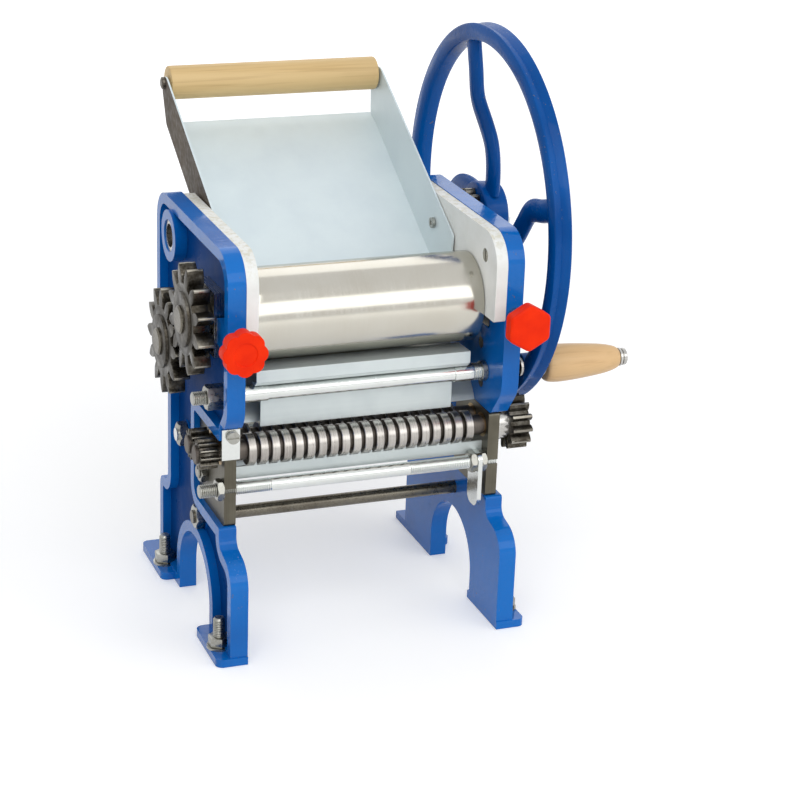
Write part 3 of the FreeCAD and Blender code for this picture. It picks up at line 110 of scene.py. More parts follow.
class Bench:
    """Lays out the nodes of one procedural material."""

    def __init__(self, name: str) -> None:
        """Start a material with a principled shader.

        Args:
            name: Name of the new material.
        """
        self.material = bpy.data.materials.new(name)
        self.material.use_nodes = True
        self.tree = self.material.node_tree
        self.shader = self.tree.nodes["Principled BSDF"]
        self.coordinates = self.tree.nodes.new("ShaderNodeTexCoord").outputs["Object"]

    def set(self, **values: float | Colour) -> None:
        """Set sockets of the shader; underscores in the names stand for spaces."""
        for key, value in values.items():
            socket = self.shader.inputs[key.replace("_", " ")]
            socket.default_value = (*value, 1.0) if isinstance(value, tuple) else value

    def stretched(self, stretch: Sequence[float]) -> Socket:
        """Object coordinates scaled unevenly along the axes."""
        node = self.tree.nodes.new("ShaderNodeMapping")
        node.inputs["Scale"].default_value = stretch
        self.tree.links.new(self.coordinates, node.inputs["Vector"])
        return node.outputs["Vector"]

    def noise(
        self,
        scale: float,
        detail: float = 3.0,
        stretch: Sequence[float] = (1, 1, 1),
        rough: float = 0.5,
    ) -> Socket:
        """A noise pattern.

        Args:
            scale: Features per metre.
            detail: Octaves of finer noise.
            stretch: Uneven scale along the axes.
            rough: Strength of the finer octaves.

        Returns:
            The factor socket.
        """
        node = self.tree.nodes.new("ShaderNodeTexNoise")
        node.inputs["Scale"].default_value = scale
        node.inputs["Detail"].default_value = detail
        node.inputs["Roughness"].default_value = rough
        self.tree.links.new(self.stretched(stretch), node.inputs["Vector"])
        return node.outputs["Fac"]

    def ramp(self, factor: Socket, stops: Sequence[tuple[float, Colour]]) -> Socket:
        """Turn a factor into colours.

        Args:
            factor: The factor socket.
            stops: Positions and their colours.

        Returns:
            The colour socket.
        """
        node = self.tree.nodes.new("ShaderNodeValToRGB")
        elements = node.color_ramp.elements
        while len(elements) < len(stops):
            elements.new(0.5)
        for element, (place, colour) in zip(elements, stops):
            element.position = place
            element.color = (*colour, 1.0)
        self.tree.links.new(factor, node.inputs["Fac"])
        return node.outputs["Color"]

    def mask(
        self, factor: Socket, start: float, end: float, first: float = 0.0, last: float = 1.0
    ) -> Socket:
        """Turn a factor into greys.

        Args:
            factor: The factor socket.
            start: Where the ramp begins.
            end: Where the ramp ends.
            first: Grey at its beginning.
            last: Grey at its end.

        Returns:
            The colour socket.
        """
        return self.ramp(factor, [(start, (first, first, first)), (end, (last, last, last))])

    def level(self, factor: Socket, low: float, high: float) -> Socket:
        """Stretch the middle of a factor to run from low to high."""
        return map_range(self.tree, factor, (0.3, 0.7), (low, high))

    def mix(self, factor: Socket, first: Socket | Colour, second: Socket | Colour) -> Socket:
        """Blend two colours by a factor socket."""
        node = self.tree.nodes.new("ShaderNodeMix")
        node.data_type = "RGBA"
        self.tree.links.new(factor, node.inputs["Factor"])
        for label, value in (("A", first), ("B", second)):
            socket = [s for s in node.inputs if s.name == label and s.type == "RGBA"][0]
            if isinstance(value, tuple):
                socket.default_value = (*value, 1.0)
            else:
                self.tree.links.new(value, socket)
        return [s for s in node.outputs if s.type == "RGBA"][0]

    def times(self, first: Socket, second: Socket) -> Socket:
        """Product of two factors."""
        node = self.tree.nodes.new("ShaderNodeMath")
        node.operation = "MULTIPLY"
        self.tree.links.new(first, node.inputs[0])
        self.tree.links.new(second, node.inputs[1])
        return node.outputs[0]

    def facing_up(self) -> Socket:
        """A factor that grows where the surface faces up."""
        geometry = self.tree.nodes.new("ShaderNodeNewGeometry")
        parts = self.tree.nodes.new("ShaderNodeSeparateXYZ")
        self.tree.links.new(geometry.outputs["Normal"], parts.inputs["Vector"])
        return map_range(self.tree, parts.outputs["Z"], (0.2, 0.9))

    def colour(self, socket: Socket) -> None:
        """Feed the base colour."""
        self.tree.links.new(socket, self.shader.inputs["Base Color"])

    def roughness(self, socket: Socket) -> None:
        """Feed the roughness."""
        self.tree.links.new(socket, self.shader.inputs["Roughness"])

    def bump(self, height: Socket, strength: float, distance: float) -> None:
        """Raise fine relief.

        Args:
            height: The height socket.
            strength: Share of the relief that shows.
            distance: Full height of the relief in metres.
        """
        node = self.tree.nodes.new("ShaderNodeBump")
        node.inputs["Strength"].default_value = strength
        node.inputs["Distance"].default_value = distance
        self.tree.links.new(height, node.inputs["Height"])
        self.tree.links.new(node.outputs["Normal"], self.shader.inputs["Normal"])


@dataclass(frozen=True)
class Enamel:
    """Glossy enamel on a casting: slightly wavy, with chips and a little flour."""

    name: str
    colour: Colour
    deep: Colour
    roughness: float = 0.22
    chips: float = 0.68
    flour: float = 0.66
    relief: float = 0.0006
    coat: float = 0.3
    specular: float = 0.08

    def material(self) -> bpy.types.Material:
        """Build the material."""
        bench = Bench(self.name)
        bench.set(Metallic=0.0, Specular_IOR_Level=self.specular)
        bench.set(Coat_Weight=self.coat, Coat_Roughness=0.05)
        base = bench.ramp(bench.noise(14.0, 2.0), [(0.3, self.deep), (0.65, self.colour)])
        speck = bench.mask(bench.noise(420.0, 2.0, rough=0.6), self.chips, self.chips + 0.03)
        patch = bench.mask(bench.noise(30.0, 3.0), 0.52, 0.62)
        chipped = bench.mix(bench.times(speck, patch), base, CHIP_GREY)
        dust = bench.mask(bench.noise(800.0, 3.0), self.flour, self.flour + 0.08, last=0.6)
        drift = bench.mask(bench.noise(22.0, 2.0), 0.55, 0.75)
        powder = bench.times(bench.times(dust, drift), bench.facing_up())
        bench.colour(bench.mix(powder, chipped, FLOUR))
        wear = bench.noise(60.0, 3.0)
        bench.roughness(bench.level(wear, self.roughness - 0.05, self.roughness + 0.1))
        bench.bump(bench.noise(170.0, 2.0), 0.25, self.relief)
        return bench.material


@dataclass(frozen=True)
class Steel:
    """Worked metal with fine lines one way and faint stains."""

    name: str
    colour: Colour
    shade: Colour
    roughness: float
    grain: Grain = Grain.EVEN
    lines: float = 0.15
    fineness: float = 500.0
    metallic: float = 1.0

    def material(self) -> bpy.types.Material:
        """Build the material."""
        bench = Bench(self.name)
        bench.set(Metallic=self.metallic)
        lines = bench.noise(self.fineness, 3.0, self.grain.value)
        stain = bench.noise(35.0, 4.0)
        tone = bench.ramp(stain, [(0.35, self.shade), (0.6, self.colour)])
        fine = bench.ramp(lines, [(0.3, self.shade), (0.7, self.colour)])
        half = bench.mask(bench.noise(3.0), 0.0, 1.0, 0.35, 0.45)
        bench.colour(bench.mix(half, tone, fine))
        bench.roughness(bench.level(lines, self.roughness * 0.8, self.roughness * 1.25))
        bench.bump(lines, self.lines, 0.0001)
        return bench.material


@dataclass(frozen=True)
class OiledGear:
    """Dark gear steel: oily flanks, dry grey and brown patches."""

    name: str
    dark: Colour
    brown: Colour
    grey: Colour
    roughness: float = 0.33

    def material(self) -> bpy.types.Material:
        """Build the material."""
        bench = Bench(self.name)
        bench.set(Metallic=0.9)
        spots = bench.noise(70.0, 5.0, rough=0.65)
        blotch = bench.ramp(spots, [(0.3, self.dark), (0.5, self.brown), (0.72, self.grey)])
        grit = bench.ramp(bench.noise(600.0, 3.0), [(0.35, self.dark), (0.7, self.grey)])
        share = bench.mask(bench.noise(40.0, 2.0), 0.3, 0.7, 0.1, 0.35)
        bench.colour(bench.mix(share, blotch, grit))
        oil = bench.noise(90.0, 4.0)
        bench.roughness(bench.level(oil, self.roughness - 0.12, self.roughness + 0.2))
        bench.bump(bench.noise(350.0, 4.0), 0.5, 0.0003)
        return bench.material


@dataclass(frozen=True)
class Moulded:
    """Moulded plastic with a faint skin texture, slightly uneven colour and some flour."""

    name: str
    colour: Colour
    shade: Colour
    roughness: float
    dusty: Colour | None = None
    gloss: float = 0.3

    def material(self) -> bpy.types.Material:
        """Build the material."""
        bench = Bench(self.name)
        bench.set(Metallic=0.0, Specular_IOR_Level=self.gloss)
        skin = bench.ramp(bench.noise(60.0, 4.0), [(0.35, self.shade), (0.62, self.colour)])
        if self.dusty is not None:
            specks = bench.mask(bench.noise(260.0, 4.0, rough=0.7), 0.45, 0.6)
            skin = bench.mix(bench.times(specks, bench.facing_up()), skin, self.dusty)
        bench.colour(skin)
        wear = bench.noise(140.0, 3.0)
        bench.roughness(bench.level(wear, self.roughness - 0.06, self.roughness + 0.1))
        bench.bump(bench.noise(700.0, 3.0), 0.25, 0.0002)
        return bench.material


@dataclass(frozen=True)
class Timber:
    """Turned wood: grain drawn out along the turning axis, with growth bands."""

    name: str
    pale: Colour
    band: Colour
    dark: Colour
    roughness: float
    knot: tuple[float, float, float] | None = None
    knot_core: float = 0.0008
    knot_edge: float = 0.0028

    def material(self) -> bpy.types.Material:
        """Build the material."""
        bench = Bench(self.name)
        bench.set(Metallic=0.0, Coat_Weight=0.1, Coat_Roughness=0.3, Specular_IOR_Level=0.25)
        bands = bench.noise(90.0, 3.0, (0.06, 1.0, 1.0))
        wide = bench.ramp(bands, [(0.3, self.band), (0.5, self.pale), (0.72, self.band)])
        fibres = bench.noise(520.0, 4.0, (0.03, 1.0, 1.0))
        fine = bench.ramp(fibres, [(0.3, self.dark), (0.48, self.pale)])
        share = bench.mask(bench.noise(25.0, 2.0, (0.3, 1.0, 1.0)), 0.35, 0.7, 0.1, 0.4)
        wood = bench.mix(share, wide, fine)
        if self.knot is not None:
            wood = self.with_knot(bench, wood)
        bench.colour(wood)
        wear = bench.noise(120.0, 3.0, (0.1, 1, 1))
        bench.roughness(bench.level(wear, self.roughness - 0.06, self.roughness + 0.1))
        bench.bump(bench.noise(500.0, 3.0, (0.04, 1.0, 1.0)), 0.2, 0.0002)
        return bench.material

    def with_knot(self, bench: Bench, wood: Socket) -> Socket:
        """Darken a small knot.

        Args:
            bench: The bench of this material.
            wood: Colour of the wood without the knot.

        Returns:
            The colour socket with the knot in it.
        """
        reach = bench.tree.nodes.new("ShaderNodeVectorMath")
        reach.operation = "DISTANCE"
        bench.tree.links.new(bench.coordinates, reach.inputs[0])
        reach.inputs[1].default_value = self.knot
        spot = bench.mask(reach.outputs["Value"], self.knot_core, self.knot_edge, 0.85, 0.0)
        return bench.mix(spot, wood, self.dark)


BLUE = Enamel(
    "blue_enamel", (0.003, 0.148, 0.520), (0.001, 0.104, 0.400),
    roughness=0.14, relief=0.0011, coat=0.35,
)
# Darker, duller blue for the sunken outer faces of the frame webs: painted shade for the recess.
RECESS_SHADE_BLUE = Enamel(
    "recess_shade_enamel", (0.002, 0.055, 0.240), (0.001, 0.034, 0.155),
    roughness=0.3, relief=0.0003, coat=0.0, specular=0.01,
)
WHEEL_BLUE = Enamel(
    "wheel_enamel", (0.001, 0.088, 0.350), (0.000, 0.055, 0.240),
    relief=0.0009, coat=0.15, specular=0.04,
)
GUARD = Moulded(
    "guard_white", (0.82, 0.83, 0.81), (0.76, 0.77, 0.74), roughness=0.38, dusty=(0.66, 0.64, 0.54)
)
KNOB = Moulded(
    "knob_orange", (0.88, 0.030, 0.001), (0.78, 0.020, 0.001), roughness=0.46, gloss=0.1
)
TRAY = Steel(
    "tray_sheet", (0.683, 0.765, 0.785), (0.632, 0.714, 0.745),
    roughness=0.50, lines=0.02, fineness=240.0, metallic=0.25,
)
# Dark brown for the outer sides of the tray walls and its underside: painted shade.
TRAY_SHADE = Steel(
    "tray_painted_shade", (0.078, 0.055, 0.032), (0.046, 0.032, 0.018),
    roughness=0.60, lines=0.05, fineness=240.0, metallic=0.2,
)
ROLLER = Steel(
    "polished_roller", (0.558, 0.537, 0.476), (0.517, 0.490, 0.422),
    roughness=0.17, grain=Grain.ROUND_X, lines=0.012,
)
SHAFT = Steel(
    "shaft_steel", (0.185, 0.170, 0.137), (0.080, 0.068, 0.054), roughness=0.30, lines=0.1
)
GEAR = OiledGear("oiled_gear", (0.017, 0.014, 0.010), (0.041, 0.034, 0.024), (0.203, 0.191, 0.164))
# Lighter steel on the gear tooth tips: painted highlight, together with wear.
TOOTH_TIP_SHEEN_AND_WEAR = Steel(
    "tooth_tips_highlight_and_wear", (0.368, 0.352, 0.304), (0.128, 0.112, 0.088),
    roughness=0.34, lines=0.1, fineness=300.0,
)
BRIGHT = Steel(
    "bright_steel", (0.562, 0.554, 0.530), (0.406, 0.390, 0.359),
    roughness=0.24, grain=Grain.ROUND_X, lines=0.03,
)
ZINC = Steel(
    "zinc_steel", (0.710, 0.728, 0.705), (0.630, 0.645, 0.622), roughness=0.22, lines=0.015
)
SHEET = Steel(
    "galvanised_sheet", (0.615, 0.668, 0.662), (0.530, 0.584, 0.588),
    roughness=0.40, grain=Grain.ALONG_X, lines=0.03, fineness=200.0, metallic=0.5,
)
WORN_ZINC = Steel(
    "worn_zinc", (0.416, 0.416, 0.384), (0.240, 0.232, 0.200), roughness=0.30, lines=0.05
)
PLATE = Steel(
    "machined_plate", (0.148, 0.136, 0.105), (0.086, 0.078, 0.058),
    roughness=0.38, grain=Grain.ALONG_Z, lines=0.08,
)
CUTTER = Steel(
    "cutter_steel", (0.600, 0.575, 0.535), (0.310, 0.285, 0.260),
    roughness=0.30, grain=Grain.ROUND_X, lines=0.08,
)
# Dark steel for the core between the cutter rings: painted shade in the gaps.
GROOVE_SHADE = Steel(
    "cutter_groove_shade", (0.180, 0.158, 0.139), (0.083, 0.071, 0.060),
    roughness=0.45, grain=Grain.ROUND_X, lines=0.08,
)
BRONZE = Steel(
    "bush_bronze", (0.496, 0.336, 0.144), (0.288, 0.192, 0.080),
    roughness=0.3, grain=Grain.ROUND_X, lines=0.05,
)
PALE_WOOD = Timber(
    "pale_wood", (0.70, 0.505, 0.245), (0.61, 0.42, 0.185), (0.45, 0.28, 0.115), roughness=0.5
)
GRIP_WOOD = Timber(
    "grip_wood", (0.70, 0.465, 0.235), (0.62, 0.390, 0.180), (0.42, 0.22, 0.09),
    roughness=0.34, knot=(0.1725, -0.0430, 0.1790),
)

Finish = Enamel | Steel | OiledGear | Moulded | Timber


class Stock:
    """The made materials, one for each finish."""

    made: dict[str, bpy.types.Material] = {}

    @classmethod
    def of(cls, finish: Finish) -> bpy.types.Material:
        """Return the material of a finish, building it once."""
        if finish.name not in cls.made:
            cls.made[finish.name] = finish.material()
        return cls.made[finish.name]


def paint(finish: Finish, *nodes: str) -> None:
    """Give model nodes a finish in every slot.

    Args:
        finish: The finish.
        nodes: Names of the nodes.
    """
    for name in nodes:
        piece = frame["nodes"][name]
        if not piece.material_slots:
            piece.data.materials.append(None)
        for place in piece.material_slots:
            place.material = Stock.of(finish)


def crease(mesh: Mesh, degrees: float = 32.0) -> None:
    """Shade faces smooth but keep corners sharper than the angle."""
    limit = math.radians(degrees)
    for face in mesh.faces:
        face.smooth = True
    for edge in mesh.edges:
        edge.smooth = len(edge.link_faces) == 2 and edge.calc_face_angle(0.0) < limit


def publish(
    mesh: Mesh,
    name: str,
    body: str,
    finish: Finish,
    stands_for: Iterable[str] = (),
) -> bpy.types.Object:
    """Turn a bmesh into a finished piece that rides on a body.

    Args:
        mesh: The shape, in place; it is freed.
        name: Name of the piece.
        body: Body that carries it.
        finish: Its finish.
        stands_for: Model nodes that it replaces.

    Returns:
        The object.
    """
    data = bpy.data.meshes.new(name)
    mesh.to_mesh(data)
    mesh.free()
    data.materials.append(Stock.of(finish))
    piece = bpy.data.objects.new(name, data)
    bpy.context.scene.collection.objects.link(piece)
    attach(piece, body)
    nodes = list(stands_for)
    if nodes:
        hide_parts(*nodes)
    log.info("%s: %d faces on %s", name, len(data.polygons), body)
    return piece


def lathe(outline: Sequence[Point], axis: Point, steps: int) -> Mesh:
    """Turn an outline about an axis along X.

    Args:
        outline: (x, radius) points in millimetres; a radius of 0 closes an end.
        axis: (y, z) of the axis in millimetres.
        steps: Steps round the axis.

    Returns:
        The turned shape.
    """
    mesh = bmesh.new()
    y, z = axis
    spots = [mesh.verts.new((x * MM, y * MM, (z + radius) * MM)) for x, radius in outline]
    for first, second in zip(spots, spots[1:]):
        mesh.edges.new((first, second))
    bmesh.ops.spin(
        mesh, geom=mesh.verts[:] + mesh.edges[:], cent=(0, y * MM, z * MM), axis=(1, 0, 0),
        angle=math.tau, steps=steps, use_merge=True,
    )
    bmesh.ops.remove_doubles(mesh, verts=mesh.verts, dist=1e-7)
    bmesh.ops.recalc_face_normals(mesh, faces=mesh.faces)
    crease(mesh)
    return mesh


def mirrored(outline: Sequence[Point]) -> list[Point]:
    """The outline from the other end, mirrored across x = 0."""
    return [(-x, radius) for x, radius in reversed(outline)]


def corner(x: float, radius: float, soft: float) -> list[Point]:
    """Outline of a turned left end's softened corner."""
    inset = soft * 0.3
    return [(x, radius - soft), (x + inset, radius - inset), (x + soft, radius)]


def rotate(mesh: Mesh, degrees: float, axis: str) -> None:
    """Turn a shape about one of the main axes."""
    matrix = Matrix.Rotation(math.radians(degrees), 3, axis)
    bmesh.ops.rotate(mesh, verts=mesh.verts, cent=(0, 0, 0), matrix=matrix)


def softened(node: str, width: float, segments: int = 2) -> Mesh:
    """A copy of a node with its sharp edges rounded over.

    Args:
        node: Name of the model node.
        width: Width of the rounding in millimetres.
        segments: Segments across the rounding.

    Returns:
        The rounded copy.
    """
    mesh = bmesh.new()
    mesh.from_mesh(frame["nodes"][node].data)
    bmesh.ops.remove_doubles(mesh, verts=mesh.verts, dist=1e-6)
    bmesh.ops.dissolve_limit(
        mesh, angle_limit=math.radians(FLAT_ANGLE), use_dissolve_boundaries=False,
        verts=mesh.verts, edges=mesh.edges,
    )
    limit = math.radians(SHARP_ANGLE)
    joined = [edge for edge in mesh.edges if len(edge.link_faces) == 2]
    edges = [edge for edge in joined if edge.calc_face_angle(0.0) > limit]
    bmesh.ops.bevel(
        mesh, geom=edges, offset=width * MM, offset_type="OFFSET", segments=segments,
        profile=0.5, affect="EDGES", clamp_overlap=True, material=-1, loop_slide=True,
    )
    crease(mesh, 40.0)
    return mesh


def tint(piece: bpy.types.Object, finish: Finish, chosen: Callable[[Vector, Vector], bool]) -> None:
    """Give some faces of a piece a second finish.

    Args:
        piece: The piece.
        finish: The second finish.
        chosen: Test of a face's middle in millimetres and its normal.
    """
    piece.data.materials.append(Stock.of(finish))
    place = len(piece.data.materials) - 1
    for face in piece.data.polygons:
        if chosen(face.center / MM, face.normal):
            face.material_index = place


def weigh_normals(piece: bpy.types.Object) -> None:
    """Let the large faces decide the shading of a rounded piece."""
    modifier = piece.modifiers.new("weighted", "WEIGHTED_NORMAL")
    modifier.keep_sharp = True


def centre_of(node: str) -> Point:
    """(y, z) of the middle of a node's box, in millimetres."""
    low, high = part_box(node)
    return (low.y + high.y) / 2 / MM, (low.z + high.z) / 2 / MM


def cut_gear(node: str, edge: float) -> None:
    """Publish a gear with rounded edges and lighter tooth tips, a painted highlight together with
    wear.

    Args:
        node: The gear's node.
        edge: Width of the rounding in millimetres.
    """
    piece = publish(softened(node, edge, 2), node + "_cut", body_of(node), GEAR, [node])
    y, z = centre_of(node)
    tip = max(math.hypot(v.co.y / MM - y, v.co.z / MM - z) for v in piece.data.vertices)

    def highlit_worn_tip(middle: Vector, normal: Vector) -> bool:
        """Tell whether a face lies on the tip of a tooth."""
        outward = Vector((0, middle.y - y, middle.z - z))
        near_tip = outward.length > tip - TIP_LAND
        return near_tip and outward.normalized().dot(normal) > TIP_FACING

    # tooth tips get the lighter steel: painted highlight and wear
    tint(piece, TOOTH_TIP_SHEEN_AND_WEAR, highlit_worn_tip)


def body_of(node: str) -> str:
    """Name of the body that holds a node."""
    for body, nodes in frame["record"]["behaviour"]["bodies"].items():
        if node in nodes:
            return body
    raise KeyError(node)


def thread(start: float, end: float, radius: float) -> list[Point]:
    """Outline of a threaded length.

    Args:
        start: First x in millimetres.
        end: Last x in millimetres.
        radius: Outer radius.

    Returns:
        (x, radius) points from start to end.
    """
    turns = max(1, round(abs(end - start) / THREAD_PITCH))
    step = (end - start) / turns
    root = radius - THREAD_DEPTH
    points = []
    for turn in range(turns):
        x = start + turn * step
        points += [(x, root)] + [(x + share * step, radius) for share in THREAD_CREST]
    return points + [(end, root)]


@dataclass
class SideFrames:
    """The two blue castings with their nuts and foot bolts."""

    edge: float = 1.5
    rim_x: float = 99.0
    bolt_x: float = 102.0
    bolt_y: float = 68.0
    bolt_radius: float = 4.0
    bolt_top: float = 27.0
    nut_flats: float = 13.0
    nut_reach: Point = (1.6, 8.2)
    washer_radius: float = 8.2
    washer: float = 1.5
    tab: float = 5.5

    def build(self) -> None:
        """Build both frames and the foot bolts."""
        for node in ("left_side_frame", "right_side_frame"):
            piece = publish(softened(node, self.edge, 3), node + "_cast", "frame", BLUE, [node])
            # the sunken web faces get the darker blue: painted shade
            tint(piece, RECESS_SHADE_BLUE, self.shaded_web_face)
            weigh_normals(piece)
        for number, (side, end) in enumerate(((-1, -1), (-1, 1), (1, -1), (1, 1)), 1):
            self.foot_bolt(f"foot_bolt_{number}", side * self.bolt_x, end * self.bolt_y)

    def shaded_web_face(self, middle: Vector, normal: Vector) -> bool:
        """Tell whether a face is the sunken outer face of a web, where shade is painted."""
        return normal.x * middle.x > 0.5 * abs(middle.x) and abs(middle.x) < self.rim_x

    def foot_bolt(self, name: str, x: float, y: float) -> None:
        """A threaded stud with washer and nut, standing in a foot tab.

        Args:
            name: Name of the piece.
            x: Place across, in millimetres.
            y: Place front to rear, in millimetres.
        """
        stud = [(0.4, 0.0), (0.4, self.bolt_radius - 0.5)]
        stud += thread(0.5, self.bolt_top - 1.0, self.bolt_radius)
        stud += [(self.bolt_top, self.bolt_radius - 1.0), (self.bolt_top, 0.0)]
        mesh = lathe(stud, ORIGIN, 32)
        foot, top, wide = self.tab, self.tab + self.washer, self.washer_radius
        washer = lathe([(foot, 0), (foot, wide), (top, wide), (top, 0)], ORIGIN, 40)
        nut = hexagon(foot + self.nut_reach[0], foot + self.nut_reach[1], self.nut_flats)
        for extra in (washer, nut):
            join_into(mesh, extra)
        rotate(mesh, -90, "Y")
        bmesh.ops.translate(mesh, verts=mesh.verts, vec=(x * MM, y * MM, 0))
        publish(mesh, name, "frame", WORN_ZINC)


def join_into(mesh: Mesh, extra: Mesh) -> None:
    """Add a second bmesh to the first and free it."""
    data = bpy.data.meshes.new("joining")
    extra.to_mesh(data)
    extra.free()
    mesh.from_mesh(data)
    bpy.data.meshes.remove(data)


def hexagon(start: float, end: float, across_flats: float) -> Mesh:
    """A hexagonal nut along X about the X axis, its corners turned off.

    Args:
        start: First x in millimetres.
        end: Last x in millimetres.
        across_flats: Size across the flats.

    Returns:
        The nut.
    """
    mesh = bmesh.new()
    radius = across_flats / math.sqrt(3) * MM
    bmesh.ops.create_cone(
        mesh, cap_ends=True, segments=6, radius1=radius, radius2=radius, depth=(end - start) * MM
    )
    bmesh.ops.bevel(
        mesh, geom=mesh.edges[:], offset=0.5 * MM, segments=2, profile=0.5, affect="EDGES",
        material=-1,
    )
    rotate(mesh, 90, "Y")
    bmesh.ops.translate(mesh, verts=mesh.verts, vec=((start + end) / 2 * MM, 0, 0))
    crease(mesh, 25.0)
    return mesh


@dataclass
class GuardsAndTray:
    """White guards, the feed tray and its wooden roller."""

    guard_edge: float = 1.6
    tray_edge: float = 0.35
    roller_end: float = 1.2
    roller_bore: float = 2.6

    def build(self) -> None:
        """Build the guards, the tray and the tray roller."""
        for node in ("left_guard", "right_guard"):
            mesh = softened(node, self.guard_edge, 3)
            weigh_normals(publish(mesh, node + "_moulding", "frame", GUARD, [node]))
        mesh = softened("hopper_tray", self.tray_edge)
        tray = publish(mesh, "tray_sheet", "frame", TRAY, ["hopper_tray"])
        weigh_normals(tray)
        # outer wall sides and underside get the dark brown: painted shade
        tint(tray, TRAY_SHADE, self.shaded_outside)
        paint(WORN_ZINC, "guard_screws", "tray_screws")
        paint(SHAFT, "tray_roller_pin")
        self.wooden_roller()

    def shaded_outside(self, middle: Vector, normal: Vector) -> bool:
        """Tell whether a face lies on the outer side of a wall or under the floor, where shade is
        painted.
        """
        walls = abs(normal.x) > 0.7 and normal.x * middle.x > 0
        return walls or normal.z < -0.4

    def wooden_roller(self) -> None:
        """The turned roller between the tray's ears."""
        low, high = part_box("tray_roller")
        left, radius = low.x / MM, (high.z - low.z) / 2 / MM
        outline = [(left, self.roller_bore)] + corner(left, radius, self.roller_end)
        outline += mirrored(outline)
        outline += [(left, self.roller_bore)]
        mesh = lathe(outline, centre_of("tray_roller"), 72)
        publish(mesh, "tray_wood_roller", "tray_roll", PALE_WOOD, ["tray_roller"])


@dataclass
class DoughRollers:
    """The two polished dough rollers with their journals."""

    drum_radius: float = 30.0
    journal_radius: float = 9.0
    half: float = 79.6
    corner: float = 0.8
    steps: int = 160
    gears: tuple[str, ...] = (
        "front_roller_gear", "rear_roller_gear", "double_gear", "upper_idler", "lower_idler",
        "crank_pinion",
    )

    def build(self) -> None:
        """Build both rollers and paint their gears and bushes."""
        for node in ("front_roller", "rear_roller"):
            low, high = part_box(node)
            drum = self.roller(low.x / MM, high.x / MM, centre_of(node))
            piece = publish(drum, node + "_turned", body_of(node), ROLLER, [node])
            tint(piece, SHAFT, lambda middle, normal: abs(middle.x) > self.half + 1)
        for node in self.gears:
            cut_gear(node, 0.4)
        paint(BRONZE, "left_roller_bush", "right_roller_bush", "crank_bush")
        paint(SHAFT, "upper_idler_stud", "lower_idler_stud")
        paint(BRIGHT, "blank_bush")

    def roller(self, left: float, right: float, axis: Point) -> Mesh:
        """One roller with both journals.

        Args:
            left: Left end of the shaft.
            right: Right end of the shaft.
            axis: (y, z) of the roller's axis.

        Returns:
            The turned roller.
        """
        drum, journal = self.drum_radius, self.journal_radius
        edge = corner(-self.half, drum, self.corner)
        outline = [(left, 0), (left, journal - 1), (left + 1, journal), (-self.half, journal)]
        outline += edge + [(x * 10.0, drum) for x in range(-7, 8)] + mirrored(edge)
        outline += [(self.half, journal), (right - 1, journal), (right, journal - 1), (right, 0)]
        return lathe(outline, axis, self.steps)


@dataclass
class Adjusters:
    """Sliding blocks, screws and the two orange knobs."""

    star_edge: float = 2.0
    hex_radius: float = 16.0
    hex_corner: float = 4.2
    cap: float = 9.5
    hub_radius: float = 8.5
    block_edge: float = 0.6

    def build(self) -> None:
        """Build the knobs and the blocks and paint the screws."""
        for node in ("left_bearing_block", "right_bearing_block"):
            block = softened(node, self.block_edge)
            weigh_normals(publish(block, node + "_cast", "carriage", BRIGHT, [node]))
        paint(BRIGHT, "left_adjusting_screw", "right_adjusting_screw")
        star = softened("left_star_knob", self.star_edge, 4)
        weigh_normals(publish(star, "star_knob", "left_adjuster", KNOB, ["left_star_knob"]))
        cap = self.hexagonal_cap()
        weigh_normals(publish(cap, "hex_knob", "right_adjuster", KNOB, ["right_hex_knob"]))

    def hexagonal_cap(self) -> Mesh:
        """The right knob: a hexagonal cap with round corners, on a short hub."""
        low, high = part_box("right_hex_knob")
        front, end = low.y / MM, high.y / MM
        back = front + self.cap
        mesh = bmesh.new()
        rounding = ((front, 1.7), (front + 0.35, 0.75), (front + 1.2, 0.0))
        rings = []
        for y, inset in (*rounding, (back - 0.9, 0.0), (back, 0.8)):
            outline = self.cap_outline(inset)
            rings.append([mesh.verts.new((x * MM, y * MM, z * MM)) for x, z in outline])
        for first, second in zip(rings, rings[1:]):
            for place, spot in enumerate(first):
                after = (place + 1) % len(first)
                mesh.faces.new((spot, first[after], second[after], second[place]))
        mesh.faces.new(rings[0])
        mesh.faces.new(rings[-1])
        start, wide = back - 0.4, self.hub_radius
        hub = lathe([(start, 0), (start, wide), (end, wide), (end, 0)], ORIGIN, 48)
        rotate(hub, 90, "Z")
        join_into(mesh, hub)
        middle = (low + high) / 2
        bmesh.ops.translate(mesh, verts=mesh.verts, vec=(middle.x, 0, middle.z))
        bmesh.ops.recalc_face_normals(mesh, faces=mesh.faces)
        crease(mesh, 40.0)
        return mesh

    def cap_outline(self, inset: float) -> list[Point]:
        """(x, z) points of the hexagon with round corners, drawn in by the inset."""
        reach = self.hex_radius - self.hex_corner / math.cos(math.radians(30))
        points = []
        for corner in range(6):
            for turn in (-30, -18, -6, 6, 18, 30):
                middle = math.radians(30 + 60 * corner)
                angle = middle + math.radians(turn)
                radius = self.hex_corner - inset
                points.append((
                    reach * math.cos(middle) + radius * math.cos(angle),
                    reach * math.sin(middle) + radius * math.sin(angle),
                ))
        return points


@dataclass
class HandCrank:
    """Handwheel, shaft, spindle and grip."""

    edge: float = 0.9
    segments: int = 3

    def build(self) -> None:
        """Round the edges of the wheel and dress the shaft, the spindle and the grip."""
        wheel = softened("handwheel", self.edge, self.segments)
        publish(wheel, "cast_handwheel", "crank", WHEEL_BLUE, ["handwheel"])
        paint(BRIGHT, "crank_shaft", "handle_spindle")
        paint(ZINC, "handwheel_nut")
        paint(GRIP_WOOD, "handle_grip")


